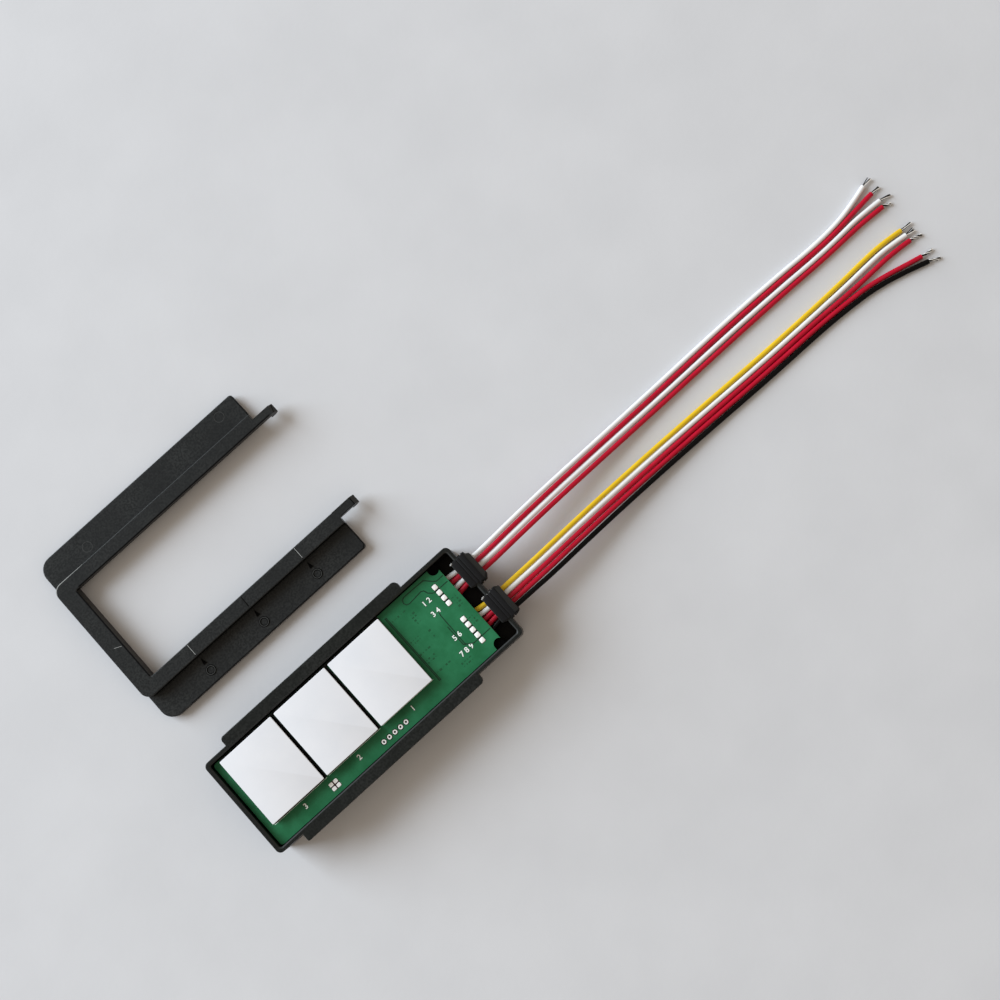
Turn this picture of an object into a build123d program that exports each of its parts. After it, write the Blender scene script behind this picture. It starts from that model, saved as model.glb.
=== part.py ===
from build123d import *
import math
import os

os.makedirs("parts", exist_ok=True)

# A mirror touch switch in millimetres, laid out as it lies on a table before it is fitted.
# A tray holds a board with three touch keys, and nine loose wires leave it through two grommets.
# Beside it lies the bracket that is stuck to the back of a mirror, and that the tray slides into.
# The origin is on the middle line of the tray's bottom face. X runs along the tray towards the wires,
# Y across it towards the bracket, and Z up from the table.

# Tray
tray_length = 93.0
tray_width = 33.2
tray_wire_end = 46.0
tray_height = 13.0
tray_wall = 1.3
tray_floor = 1.6
tray_corner_radius = 1.6
cavity_corner_radius = 0.8
rim_round = 0.25
mouth_chamfer = 0.4
base_chamfer = 0.4

# Side wings of the tray, flush with its rim
wing_reach = 2.65
wing_thickness = 3.2
wing_setback = 8.6
wing_length = 66.8
wing_lead_radius = 1.5
wing_near_tail_radius = 0.5
wing_far_tail_radius = 1.2

# Circuit board, and the ledges and posts that seat it
board_thickness = 1.6
board_recess = 2.5
board_side_clearance = 0.3
board_end_clearance = 0.3
board_wire_gap = 4.9
board_corner_radius = 0.9
ledge_width = 1.2
post_radius = 1.5
post_clearance = 0.2
post_setback = 6.2
post_inset = 1.1
post_recess = 1.2

# Touch keys: a foam block with a stiff white face, one behind the other along the tray
key_count = 3
pad_length = 19.35
pad_gap = 1.2
pad_wall_gap = 1.1
pad_end_gap = 2.9
key_strip_width = 6.25
pad_proud = 0.3
face_thickness = 0.5
face_corner_radius = 0.3
foam_inset = 0.25

# Row of plated test holes and the group of solder pads beside the keys
test_hole_count = 5
test_hole_pitch = 2.1
test_hole_radius = 0.32
test_ring_radius = 0.7
test_hole_inset = 2.55
test_hole_shift = 2.05
ring_thickness = 0.05
jumper_pad_length = 1.35
jumper_pad_width = 1.15
jumper_pad_gap = 0.3
jumper_inset = 2.95

# Wires and the slots that they leave by
wire_diameter = 1.5
wire_gap = 0.07
wire_board_gap = 0.15
wire_fit = 0.05
conductor_diameter = 0.8
conductor_fit = 0.1
conductor_bend = 0.9
stripped_length = 1.35
fan_run = 4.4
grommet_run = 6.8
hole_pitch = 2.0
hole_setback = 4.25
solder_pad_size = 1.45
solder_thickness = 0.12
slot_width = 9.3
slot_depth_below_wire = 3.0
divider_width = 3.95
divider_offset = 0.475

# Grommets
grommet_rise = 0.2
grommet_lap = 0.45
grommet_inner_lap = 0.25
grommet_inner_length = 1.5
grommet_inner_taper = 0.55
grommet_flange_length = 0.9
grommet_groove_length = 0.4
grommet_groove_depth = 0.35
grommet_nose_length = 2.1
grommet_nose_margin = 0.5
grommet_top_chamfer = 0.5

# Parts on the underside of the board
chip_length = 9.9
chip_width = 3.9
chip_height = 1.45
chip_leg_pitch = 1.27
chip_leg_count = 8
leg_width = 0.42
leg_thickness = 0.2
leg_reach = 1.05
leg_foot = 0.6
chip_standoff = 0.1
transistor_length = 6.5
transistor_width = 3.5
transistor_height = 1.6
transistor_leg_pitch = 2.3
transistor_side_setback = 5.9
transistor_tab_width = 3.0
transistor_setback = 16.5
regulator_length = 4.5
regulator_width = 2.5
regulator_height = 1.5
regulator_leg_pitch = 1.5
diode_length = 4.3
diode_width = 2.6
diode_height = 2.2
power_setback = 25.5
power_spacing = 8.0
capacitor_radius = 2.5
capacitor_base = 5.3
capacitor_base_height = 0.8
capacitor_floor_gap = 1.9
capacitor_setback = 34.5
capacitor_spacing = 7.5
resistor_count = 6
resistor_length = 2.0
resistor_width = 1.25
resistor_height = 0.5
resistor_pitch = 2.6
resistor_offset = 7.5

# Bracket, with the clearances that let the tray slide in
window_clearance = 0.3
channel_clearance = 0.3
lip_clearance = 0.1
lip_thickness = 2.0
ridge_wall = 2.0
bar_width = 5.6
bar_clearance = 0.6
hook_clearance = 0.2
hook_length = 2.5
hook_lead = 1.0
hook_slope = 1.3
hook_floor_gap = 1.6
prong_overhang = 7.2
flange_width = 9.0
flange_thickness = 1.8
flange_setback = 0.35
flange_corner_radius = 4.3
flange_end_radius = 1.0
ridge_corner_radius = 3.0
edge_round = 0.3
tape_thickness = 0.8
tape_inset = 0.9
tape_corner_radius = 3.4

# Marks moulded on the bracket, one set for each key
tick_width = 0.3
tick_depth = 0.15
tick_inset = 0.9
ring_mark_radius = 1.45
ring_mark_line = 0.3
mark_height = 0.25
mark_pitch = 20.9
mark_shift = -0.5
ring_mark_inset = 5.35
wedge_offset = 3.4
wedge_length = 1.5
wedge_width = 0.8
ejector_mark_radius = 1.75
ejector_mark_depth = 0.06
ejector_inset = 6.35
ejector_from_open_end = 6.8
ejector_from_bar = 10.1

# Where the bracket lies beside the tray
bracket_gap = 14.1
bracket_shift = 3.9

# Free wires: how far each corner's arc uses its shorter run, and the bared strands
arc_share = 0.45
strand_straight = 1.2

# How far a cutting or joining solid passes the face that it cuts or joins
overrun = 1.0

# The two leads and their wires, each from +Y to -Y
lead_a_wires = ["wire_a1_white", "wire_a2_red", "wire_a3_white", "wire_a4_red"]
lead_b_wires = ["wire_b1_yellow", "wire_b2_white", "wire_b3_red", "wire_b4_red", "wire_b5_black"]

# Places that follow from the sizes
wire_end_x = tray_wire_end
closed_x = wire_end_x - tray_length
half_width = tray_width / 2
inner_half = half_width - tray_wall
cavity_x0 = closed_x + tray_wall
cavity_x1 = wire_end_x - tray_wall
board_top = tray_height - board_recess
board_bottom = board_top - board_thickness
board_x0 = cavity_x0 + board_end_clearance
board_x1 = cavity_x1 - board_wire_gap
board_half = inner_half - board_side_clearance
post_x = cavity_x1 - post_setback
post_y = inner_half - post_inset
wing_x0 = closed_x + wing_setback
wing_x1 = wing_x0 + wing_length
wing_half = half_width + wing_reach

face_top = tray_height + pad_proud
face_bottom = face_top - face_thickness
pad_width = 2 * inner_half - pad_wall_gap - key_strip_width
pad_y = inner_half - pad_wall_gap - pad_width / 2
pad_pitch = pad_length + pad_gap
last_key_x = cavity_x0 + pad_end_gap + pad_length / 2
key_places = [last_key_x + pad_pitch * (key_count - 1 - index) for index in range(key_count)]

wire_radius = wire_diameter / 2
conductor_radius = conductor_diameter / 2
wire_pitch = wire_diameter + wire_gap
wire_z = board_bottom - wire_radius - wire_board_gap
slot_floor = wire_z - slot_depth_below_wire
lead_a_y = divider_offset + (divider_width + slot_width) / 2
lead_b_y = divider_offset - (divider_width + slot_width) / 2
hole_x = board_x1 - hole_setback
grommet_top = tray_height + grommet_rise
exit_x = wire_end_x + grommet_flange_length + grommet_groove_length + grommet_nose_length

window_half = half_width + window_clearance
channel_half = wing_half + channel_clearance
ridge_half = channel_half + ridge_wall
flange_half = ridge_half + flange_width
lip_under = pad_proud + wing_thickness + lip_clearance
ridge_top = lip_under + lip_thickness
hook_catch = bar_clearance + wing_setback + wing_length + hook_clearance
prong_tip = hook_catch + hook_length
flange_end = prong_tip - prong_overhang
bracket_place = Pos(closed_x + bracket_shift, wing_half + bracket_gap + flange_half, 0)


def block(x0, x1, y0, y1, z0, z1):
    """A box between two opposite corners."""
    corner = (Align.MIN, Align.MIN, Align.MIN)
    return Pos(x0, min(y0, y1), z0) * Box(x1 - x0, abs(y1 - y0), z1 - z0, align=corner)


def pin(x, y, z0, z1, radius):
    """An upright cylinder."""
    return Pos(x, y, z0) * Cylinder(radius, z1 - z0, align=(Align.CENTER, Align.CENTER, Align.MIN))


def prism(outline, z0, z1):
    """An upright prism over a closed outline in plan."""
    face = make_face(Polyline(*outline, close=True))
    return Pos(0, 0, z0) * extrude(face, amount=z1 - z0, dir=(0, 0, 1))


def rounded_plate(x0, x1, y0, y1, z0, z1, radius):
    """A flat plate with round corners in plan."""
    sketch = RectangleRounded(x1 - x0, y1 - y0, radius)
    return Pos((x0 + x1) / 2, (y0 + y1) / 2, z0) * extrude(sketch, amount=z1 - z0)


def corner_edge(solid, side, at_high_x):
    """The upright edge of a plain block at one end of X and on one side of Y."""
    upright = solid.edges().filter_by(Axis.Z).sort_by(Axis.X)
    pair = upright[-2:] if at_high_x else upright[:2]
    return max(pair, key=lambda edge: side * edge.center().Y)


def row_places(middle, count, pitch):
    """The places of a row of wires, holes or marks about its middle, from the highest to the lowest."""
    return [middle + pitch * ((count - 1) / 2 - index) for index in range(count)]


def passage_half(count):
    """Half the width of the slot through a grommet for a row of wires."""
    return wire_pitch * (count - 1) / 2 + wire_radius + wire_fit


def tray_housing():
    """The open tray, with wings along its rim, ledges and posts for the board, and two slots."""
    shell = rounded_plate(closed_x, wire_end_x, -half_width, half_width, 0, tray_height, tray_corner_radius)
    shell = chamfer(shell.faces().sort_by(Axis.Z)[0].edges(), base_chamfer)
    for side, tail_radius in ((-1, wing_near_tail_radius), (1, wing_far_tail_radius)):
        root = side * (half_width - tray_wall / 2)
        low = tray_height - wing_thickness
        wing = block(wing_x0, wing_x1, root, side * wing_half, low, tray_height)
        wing = fillet(corner_edge(wing, side, True), wing_lead_radius)
        shell += fillet(corner_edge(wing, side, False), tail_radius)
    top_edges = shell.faces().sort_by(Axis.Z)[-1].edges()
    shell = fillet(top_edges, rim_round)
    mouth = tray_height + overrun
    shell -= rounded_plate(
        cavity_x0, cavity_x1, -inner_half, inner_half, tray_floor, mouth, cavity_corner_radius
    )
    rim = shell.faces().sort_by(Axis.Z)[-1]
    shell = chamfer(rim.inner_wires()[0].edges(), mouth_chamfer)
    for side in (-1, 1):
        wall = side * (inner_half + tray_wall / 2)
        shelf = side * (inner_half - ledge_width)
        shell += block(cavity_x0 - tray_wall / 2, board_x1, wall, shelf, tray_floor, board_bottom)
        shell += pin(post_x, side * post_y, tray_floor, board_top - post_recess, post_radius)
    for lead_y in (lead_a_y, lead_b_y):
        edges = (lead_y - slot_width / 2, lead_y + slot_width / 2)
        shell -= block(
            cavity_x1 - overrun, wire_end_x + overrun, *edges, slot_floor, tray_height + overrun
        )
    return shell


def circuit_board():
    """The board, notched for the tray's posts and drilled for the wires and the test holes."""
    board = rounded_plate(
        board_x0, board_x1, -board_half, board_half, board_bottom, board_top, board_corner_radius
    )
    drill = (board_bottom - overrun, board_top + overrun)
    for side in (-1, 1):
        board -= pin(post_x, side * post_y, *drill, post_radius + post_clearance)
        board -= block(
            post_x - post_radius - post_clearance,
            post_x + post_radius + post_clearance,
            side * post_y,
            side * (board_half + overrun),
            *drill,
        )
    for lead_y, wires in ((lead_a_y, lead_a_wires), (lead_b_y, lead_b_wires)):
        for y in row_places(lead_y, len(wires), hole_pitch):
            board -= pin(hole_x, y, *drill, conductor_radius + conductor_fit)
    for x, y in test_hole_places():
        board -= pin(x, y, *drill, test_hole_radius)
    return board


def gap_between_keys(index):
    """The place along the tray of the gap between one key and the next."""
    return (key_places[index] + key_places[index + 1]) / 2


def test_hole_places():
    """The centres of the plated test holes, beside the gap between the first two keys."""
    start = gap_between_keys(0) + test_hole_shift - test_hole_pitch * (test_hole_count - 1) / 2
    y = test_hole_inset - inner_half
    return [(start + test_hole_pitch * index, y) for index in range(test_hole_count)]


def test_hole_rings():
    """The tinned ring round each test hole."""
    rings = []
    for x, y in test_hole_places():
        ring = pin(x, y, board_top, board_top + ring_thickness, test_ring_radius)
        rings.append(ring - pin(x, y, board_top - overrun, board_top + overrun, test_hole_radius))
    return Compound(children=rings)


def jumper_pads():
    """Four solder pads in a square, beside the gap between the last two keys."""
    x = gap_between_keys(key_count - 2)
    y = jumper_inset - inner_half
    near = jumper_pad_gap / 2
    far_x = near + jumper_pad_length
    far_y = near + jumper_pad_width
    pads = []
    for x0, x1 in ((x - far_x, x - near), (x + near, x + far_x)):
        for y0, y1 in ((y - far_y, y - near), (y + near, y + far_y)):
            pads.append(block(x0, x1, y0, y1, board_top, board_top + ring_thickness))
    return Compound(children=pads)


def solder_joints(lead_y, count):
    """The square solder pads in which one lead's conductors end."""
    half = solder_pad_size / 2
    pads = []
    for y in row_places(lead_y, count, hole_pitch):
        pads.append(
            block(
                hole_x - half, hole_x + half, y - half, y + half, board_top, board_top + solder_thickness
            )
        )
    return Compound(children=pads)


def touch_pad_foam(x):
    """The foam block that holds a key's face against the glass."""
    half_x = pad_length / 2 - foam_inset
    half_y = pad_width / 2 - foam_inset
    return block(x - half_x, x + half_x, pad_y - half_y, pad_y + half_y, board_top, face_bottom)


def touch_pad_face(x):
    """The stiff white face of a key."""
    half_x = pad_length / 2
    half_y = pad_width / 2
    return rounded_plate(
        x - half_x, x + half_x, pad_y - half_y, pad_y + half_y, face_bottom, face_top, face_corner_radius
    )


def wire_grommet(lead_y, count):
    """A rubber grommet: a web in the wall's slot, a tapered head inside and a flanged nose outside."""
    bottom = slot_floor - grommet_lap
    flange = slot_width / 2 + grommet_lap
    groove = flange - grommet_groove_depth
    nose = passage_half(count) + grommet_nose_margin
    head = slot_width / 2 + grommet_inner_lap
    flange_x = wire_end_x + grommet_flange_length
    groove_x = flange_x + grommet_groove_length
    head_x = cavity_x1 - grommet_inner_length
    outer = [
        (wire_end_x, flange),
        (flange_x, flange),
        (flange_x, groove),
        (groove_x, groove),
        (groove_x, flange),
        ((groove_x + exit_x) / 2, flange - grommet_groove_depth / 2),
        (exit_x, nose),
    ]
    inner = [(cavity_x1, head), (head_x, head - grommet_inner_taper)]
    body = block(
        cavity_x1, wire_end_x, lead_y - slot_width / 2, lead_y + slot_width / 2, slot_floor, grommet_top
    )
    for half in (outer, inner):
        outline = [(x, lead_y + y) for x, y in half] + [(x, lead_y - y) for x, y in reversed(half)]
        body += prism(outline, bottom, grommet_top)
    nose_edge = body.edges().group_by(Axis.Z)[-1].sort_by(Axis.X)[-1]
    body = chamfer(nose_edge, grommet_top_chamfer)
    width = 2 * passage_half(count)
    height = wire_diameter + 2 * wire_fit
    mouth = Plane(origin=(head_x - overrun, lead_y, wire_z), x_dir=(0, 1, 0), z_dir=(1, 0, 0))
    return body - extrude(mouth * SlotOverall(width, height), amount=exit_x - head_x + 2 * overrun)


def bend_radii(points):
    """The radius at each corner of a route: as large as its two runs leave room for."""
    radii = []
    for before, here, after in zip(points, points[1:], points[2:]):
        run_in = here - before
        run_out = after - here
        half_turn = math.radians(run_in.get_angle(run_out)) / 2
        radii.append(arc_share * min(run_in.length, run_out.length) / math.tan(half_turn))
    return radii


def tube(points, radius, radii):
    """A round tube whose straight runs are joined by arcs, and its centre line."""
    path = FilletPolyline(*points, radius=radii) if radii else Line(*points)
    section = Plane(origin=points[0], z_dir=points[1] - points[0]) * Circle(radius)
    return sweep(section, path=path), path


def wire_tail(wire_y, hole_y):
    """A wire's held end: through its grommet, under the board, and up through its hole."""
    sleeve_end = hole_x + stripped_length
    fan_start = exit_x - grommet_run
    route = [Vector(exit_x, wire_y, wire_z), Vector(sleeve_end, wire_y, wire_z)]
    if abs(wire_y - hole_y) > wire_fit:
        route = [
            Vector(exit_x, wire_y, wire_z),
            Vector(fan_start, wire_y, wire_z),
            Vector(fan_start - fan_run, hole_y, wire_z),
            Vector(sleeve_end, hole_y, wire_z),
        ]
    sleeve = tube(route, wire_radius, bend_radii(route))[0]
    core = [
        Vector(sleeve_end + conductor_radius, hole_y, wire_z),
        Vector(hole_x, hole_y, wire_z),
        Vector(hole_x, hole_y, board_top),
    ]
    return sleeve + tube(core, conductor_radius, [conductor_bend])[0]


def leg(x, y, side, body_z):
    """One bent leg of a chip, from the body's side to the board above it."""
    reach = side * (leg_reach - leg_foot)
    tip = side * leg_reach
    inner = -side * leg_thickness
    thick = leg_thickness
    outline = [
        (y + inner, body_z),
        (y + inner, body_z - thick),
        (y + reach + side * thick, body_z - thick),
        (y + reach + side * thick, board_bottom - thick),
        (y + tip, board_bottom - thick),
        (y + tip, board_bottom),
        (y + reach, board_bottom),
        (y + reach, body_z),
    ]
    profile = make_face(Polyline(*[(x - leg_width / 2, py, pz) for py, pz in outline], close=True))
    return extrude(profile, amount=leg_width, dir=(1, 0, 0))


def legged_chip(x, y, length, width, height, leg_count, leg_pitch, both_sides=True):
    """A moulded chip on the board's underside, with its bent legs."""
    top = board_bottom - chip_standoff
    chip = block(x - length / 2, x + length / 2, y - width / 2, y + width / 2, top - height, top)
    body_z = top - height / 2 + leg_thickness / 2
    for place in row_places(x, leg_count, leg_pitch):
        chip += leg(place, y - width / 2, -1, body_z)
        if both_sides:
            chip += leg(place, y + width / 2, 1, body_z)
    return chip


def power_transistor(x, y):
    """An output transistor, with three legs on one side and a broad tab on the other."""
    chip = legged_chip(
        x, y, transistor_length, transistor_width, transistor_height, 3, transistor_leg_pitch, False
    )
    edge = y + transistor_width / 2
    half = transistor_tab_width / 2
    tab_top = board_bottom
    return chip + block(
        x - half, x + half, edge - leg_thickness, edge + leg_reach, tab_top - 2 * leg_thickness, tab_top
    )


def reverse_polarity_diode(x, y):
    """A block diode with a folded contact at each end."""
    half_x = diode_length / 2
    half_y = diode_width / 2
    top = board_bottom - chip_standoff
    body = block(x - half_x, x + half_x, y - half_y, y + half_y, top - diode_height, top)
    for side in (-1, 1):
        inner = x + side * (half_x - leg_foot)
        outer = x + side * (half_x + leg_thickness)
        low = min(inner, outer)
        high = max(inner, outer)
        half = half_y - leg_thickness
        body += block(low, high, y - half, y + half, board_bottom - diode_height / 2, board_bottom)
    return body


def filter_capacitor(x, y):
    """A can capacitor on its square base, hanging under the board."""
    half = capacitor_base / 2
    foot = board_bottom - capacitor_base_height
    base = block(x - half, x + half, y - half, y + half, foot, board_bottom)
    return base + pin(x, y, tray_floor + capacitor_floor_gap, foot, capacitor_radius)


def chip_resistors(x, y):
    """A row of chip resistors."""
    row = []
    for place in row_places(x, resistor_count, resistor_pitch):
        row.append(
            block(
                place - resistor_width / 2,
                place + resistor_width / 2,
                y - resistor_length / 2,
                y + resistor_length / 2,
                board_bottom - resistor_height,
                board_bottom,
            )
        )
    return Compound(children=row)


def bracket_prong(side):
    """The springy end of one lip, with the hook that drops behind the tray's wing."""
    low = lip_under - wing_thickness + hook_floor_gap
    profile = [
        (flange_end - overrun, lip_under),
        (hook_catch, lip_under),
        (hook_catch, low),
        (prong_tip - hook_lead, low),
        (prong_tip, low + hook_lead),
        (prong_tip, ridge_top - hook_slope),
        (prong_tip - hook_slope, ridge_top),
        (flange_end - overrun, ridge_top),
    ]
    start = min(side * window_half, side * channel_half)
    face = make_face(Polyline(*[(x, start, z) for x, z in profile], close=True))
    return extrude(face, amount=channel_half - window_half, dir=(0, 1, 0))


def bracket_frame():
    """The U-shaped bracket: a raised ridge whose lips hold the wings, and a flange on each long side."""
    ridge = block(-bar_width, flange_end, -ridge_half, ridge_half, tape_thickness, ridge_top)
    outer_corners = ridge.edges().filter_by(Axis.Z).sort_by(Axis.X)[:2]
    ridge = fillet(outer_corners, ridge_corner_radius)
    ridge -= block(
        0, flange_end + overrun, -window_half, window_half, tape_thickness - overrun, ridge_top + overrun
    )
    ridge = fillet(ridge.faces().sort_by(Axis.Z)[-1].edges(), edge_round)
    plate_top = tape_thickness + flange_thickness
    frame = ridge
    for side in (-1, 1):
        root = side * (ridge_half - ridge_wall)
        plate = block(
            flange_setback - bar_width, flange_end, root, side * flange_half, tape_thickness, plate_top
        )
        plate = fillet(corner_edge(plate, side, False), flange_corner_radius)
        plate = fillet(corner_edge(plate, side, True), flange_end_radius)
        plate = fillet(plate.faces().sort_by(Axis.Z)[-1].edges(), edge_round)
        frame += plate
    frame -= block(
        0, flange_end + overrun, -channel_half, channel_half, tape_thickness - overrun, lip_under
    )
    for side in (-1, 1):
        frame += bracket_prong(side)
    for place in row_places(bar_clearance + key_places[1] - closed_x + mark_shift, key_count, mark_pitch):
        frame = add_key_marks(frame, place)
    for u in (flange_end - ejector_from_open_end, ejector_from_bar):
        v = ridge_half + ejector_inset
        frame -= pin(u, v, plate_top - ejector_mark_depth, plate_top + overrun, ejector_mark_radius)
    return bracket_place * frame


def add_key_marks(frame, u):
    """A tick across the near ridge, and a ring and a small wedge on the near flange, for one key."""
    plate_top = tape_thickness + flange_thickness
    frame -= block(
        u - tick_width / 2,
        u + tick_width / 2,
        -ridge_half - overrun,
        -window_half - tick_inset,
        ridge_top - tick_depth,
        ridge_top + overrun,
    )
    v = -ridge_half - ring_mark_inset
    ring = pin(u, v, plate_top - mark_height, plate_top + mark_height, ring_mark_radius)
    ring -= pin(u, v, plate_top - overrun, plate_top + overrun, ring_mark_radius - ring_mark_line)
    tip = (u, v + wedge_offset + wedge_length / 2)
    foot = v + wedge_offset - wedge_length / 2
    wedge = prism(
        [tip, (u - wedge_width / 2, foot), (u + wedge_width / 2, foot)],
        plate_top - mark_height,
        plate_top + mark_height,
    )
    return frame + ring + wedge


def adhesive_tape(side):
    """The double-sided tape under one flange, which holds the bracket to the mirror."""
    x0 = flange_setback - bar_width + tape_inset
    x1 = flange_end - tape_inset
    inner = side * (ridge_half + tape_inset)
    outer = side * (flange_half - tape_inset)
    low = min(inner, outer)
    high = max(inner, outer)
    return bracket_place * rounded_plate(x0, x1, low, high, 0, tape_thickness, tape_corner_radius)


# The free routes of the wires, chosen by hand from where they lie on the table.
# A point is (how far out of the grommet, how far across from the wire's own exit, height above the table).
free_routes = {
    "wire_a1_white": [
        (5.0, 0.0, wire_z), (14.0, 0.50, 7.3), (30.0, 1.02, 5.1), (48.6, 1.20, 2.8),
        (73.6, 1.40, 1.1), (99.6, 1.65, 0.8), (120.6, 1.35, 0.8), (134.6, 0.70, 0.8),
        (143.6, 0.90, 0.8), (151.6, 2.00, 0.8), (158.9, 3.97, 0.8),
    ],
    "wire_a2_red": [
        (5.0, 0.0, wire_z), (14.0, 0.46, 7.3), (30.0, 0.99, 5.1), (48.6, 1.22, 2.8),
        (73.6, 1.37, 1.1), (99.6, 1.62, 0.8), (120.6, 1.27, 0.8), (134.6, 0.72, 0.8),
        (143.6, 0.92, 0.8), (151.6, 1.72, 0.8), (159.2, 2.32, 0.8),
    ],
    "wire_a3_white": [
        (5.0, 0.0, wire_z), (14.0, 0.42, 7.3), (30.0, 0.96, 5.1), (48.6, 1.19, 2.8),
        (73.6, 1.29, 1.1), (99.6, 1.49, 0.8), (120.6, 1.19, 0.8), (134.6, 0.69, 0.8),
        (143.6, 0.89, 0.8), (151.6, 1.29, 0.8), (159.5, 0.70, 0.8),
    ],
    "wire_a4_red": [
        (5.0, 0.0, wire_z), (14.0, 0.36, 7.3), (30.0, 0.82, 5.1), (48.6, 1.06, 2.8),
        (73.6, 1.11, 1.1), (99.6, 1.21, 0.8), (120.6, 1.06, 0.8), (134.6, 0.66, 0.8),
        (143.6, 0.76, 0.8), (151.6, 0.86, 0.8), (158.8, 0.34, 0.8),
    ],
    "wire_b1_yellow": [
        (5.0, 0.0, wire_z), (14.0, 0.05, 7.3), (30.0, 0.47, 5.1), (48.6, 0.66, 2.8),
        (73.6, 0.41, 1.1), (99.6, -0.29, 0.8), (120.6, -0.44, 0.8), (134.6, -0.24, 0.8),
        (143.6, 0.11, 0.8), (151.1, 0.16, 0.8), (157.8, -0.71, 0.8),
    ],
    "wire_b2_white": [
        (5.0, 0.0, wire_z), (14.0, 0.01, 7.3), (30.0, 0.44, 5.1), (48.6, 0.63, 2.8),
        (73.6, 0.38, 1.1), (99.6, -0.32, 0.8), (120.6, -0.42, 0.8), (134.6, -0.42, 0.8),
        (143.6, -0.12, 0.8), (151.1, -0.12, 0.8), (157.9, -1.11, 0.8),
    ],
    "wire_b3_red": [
        (5.0, 0.0, wire_z), (14.0, -0.02, 7.3), (30.0, 0.41, 5.1), (48.6, 0.60, 2.8),
        (73.6, 0.35, 1.1), (99.6, -0.35, 0.8), (120.6, -0.50, 0.8), (134.6, -1.05, 0.8),
        (143.6, -0.95, 0.8), (151.1, -0.80, 0.8), (157.7, -1.52, 0.8),
    ],
    "wire_b4_red": [
        (5.0, 0.0, wire_z), (14.0, -0.06, 7.3), (30.0, 0.38, 5.1), (48.6, 0.57, 2.8),
        (73.6, 0.32, 1.1), (99.6, -0.38, 0.8), (120.6, -0.48, 0.8), (130.6, -0.98, 0.8),
        (138.6, -1.58, 0.8), (145.4, -2.88, 0.8), (151.8, -4.55, 0.8), (156.8, -5.77, 0.8),
    ],
    "wire_b5_black": [
        (5.0, 0.0, wire_z), (14.0, -0.16, 7.3), (30.0, 0.28, 5.1), (48.6, 0.49, 2.8),
        (73.6, 0.24, 1.1), (99.6, -0.46, 0.8), (120.6, -0.51, 0.8), (130.6, -1.01, 0.8),
        (138.6, -1.71, 0.8), (145.4, -3.06, 0.8), (151.8, -4.86, 0.8), (157.3, -6.60, 0.8),
    ],
}


# The tip of each wire's bared strands, out from the end of its insulation, across, and its height.
strand_tips = {
    "wire_a1_white": (3.3, 0.51, 0.5),
    "wire_a2_red": (3.2, -0.10, 0.5),
    "wire_a3_white": (3.8, -0.95, 0.5),
    "wire_a4_red": (2.8, -0.92, 0.5),
    "wire_b1_yellow": (4.1, -0.24, 0.5),
    "wire_b2_white": (3.2, -0.29, 0.5),
    "wire_b3_red": (4.1, -1.13, 0.5),
    "wire_b4_red": (4.2, -0.57, 0.5),
    "wire_b5_black": (3.7, -1.69, 0.5),
}


def free_wire(name, wire_y):
    """A wire's free stretch from its grommet to the end of its insulation, and its route."""
    route = [Vector(exit_x, wire_y, wire_z)]
    for out, across, height in free_routes[name]:
        route.append(Vector(exit_x + out, wire_y + across, height))
    radii = bend_radii(route)
    wire, path = tube(route, wire_radius, radii)
    expected = math.pi * wire_radius**2 * path.length
    print(f"{name}: length {path.length:.1f}, volume {wire.volume:.2f} of {expected:.2f}, radii", end=" ")
    print(", ".join(f"{radius:.0f}" for radius in radii))
    return wire, route


def wire_strands(name, route):
    """The bared and tinned strands at the end of a wire."""
    start = route[-1]
    heading = (route[-1] - route[-2]).normalized()
    out, across, height = strand_tips[name]
    points = [
        start,
        start + heading * strand_straight,
        Vector(start.X + out, start.Y + across, height),
    ]
    return tube(points, conductor_radius, bend_radii(points))[0]


nodes = {
    "tray_housing": tray_housing(),
    "circuit_board": circuit_board(),
    "test_hole_rings": test_hole_rings(),
    "jumper_pads": jumper_pads(),
    "solder_joints_a": solder_joints(lead_a_y, len(lead_a_wires)),
    "solder_joints_b": solder_joints(lead_b_y, len(lead_b_wires)),
    "wire_grommet_a": wire_grommet(lead_a_y, len(lead_a_wires)),
    "wire_grommet_b": wire_grommet(lead_b_y, len(lead_b_wires)),
    "bracket_frame": bracket_frame(),
    "adhesive_tape_near": adhesive_tape(-1),
    "adhesive_tape_far": adhesive_tape(1),
}

# Touch keys, numbered from the wires
for index, x in enumerate(key_places, start=1):
    nodes[f"touch_pad_foam_{index}"] = touch_pad_foam(x)
    nodes[f"touch_pad_face_{index}"] = touch_pad_face(x)

# The nine wires, each with its free stretch, its bared strands and its held end
for lead_y, names in ((lead_a_y, lead_a_wires), (lead_b_y, lead_b_wires)):
    exits = row_places(lead_y, len(names), wire_pitch)
    holes = row_places(lead_y, len(names), hole_pitch)
    for name, wire_y, hole_y in zip(names, exits, holes):
        nodes[name], route = free_wire(name, wire_y)
        nodes[f"{name}_strands"] = wire_strands(name, route)
        nodes[f"{name}_tail"] = wire_tail(wire_y, hole_y)

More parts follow.
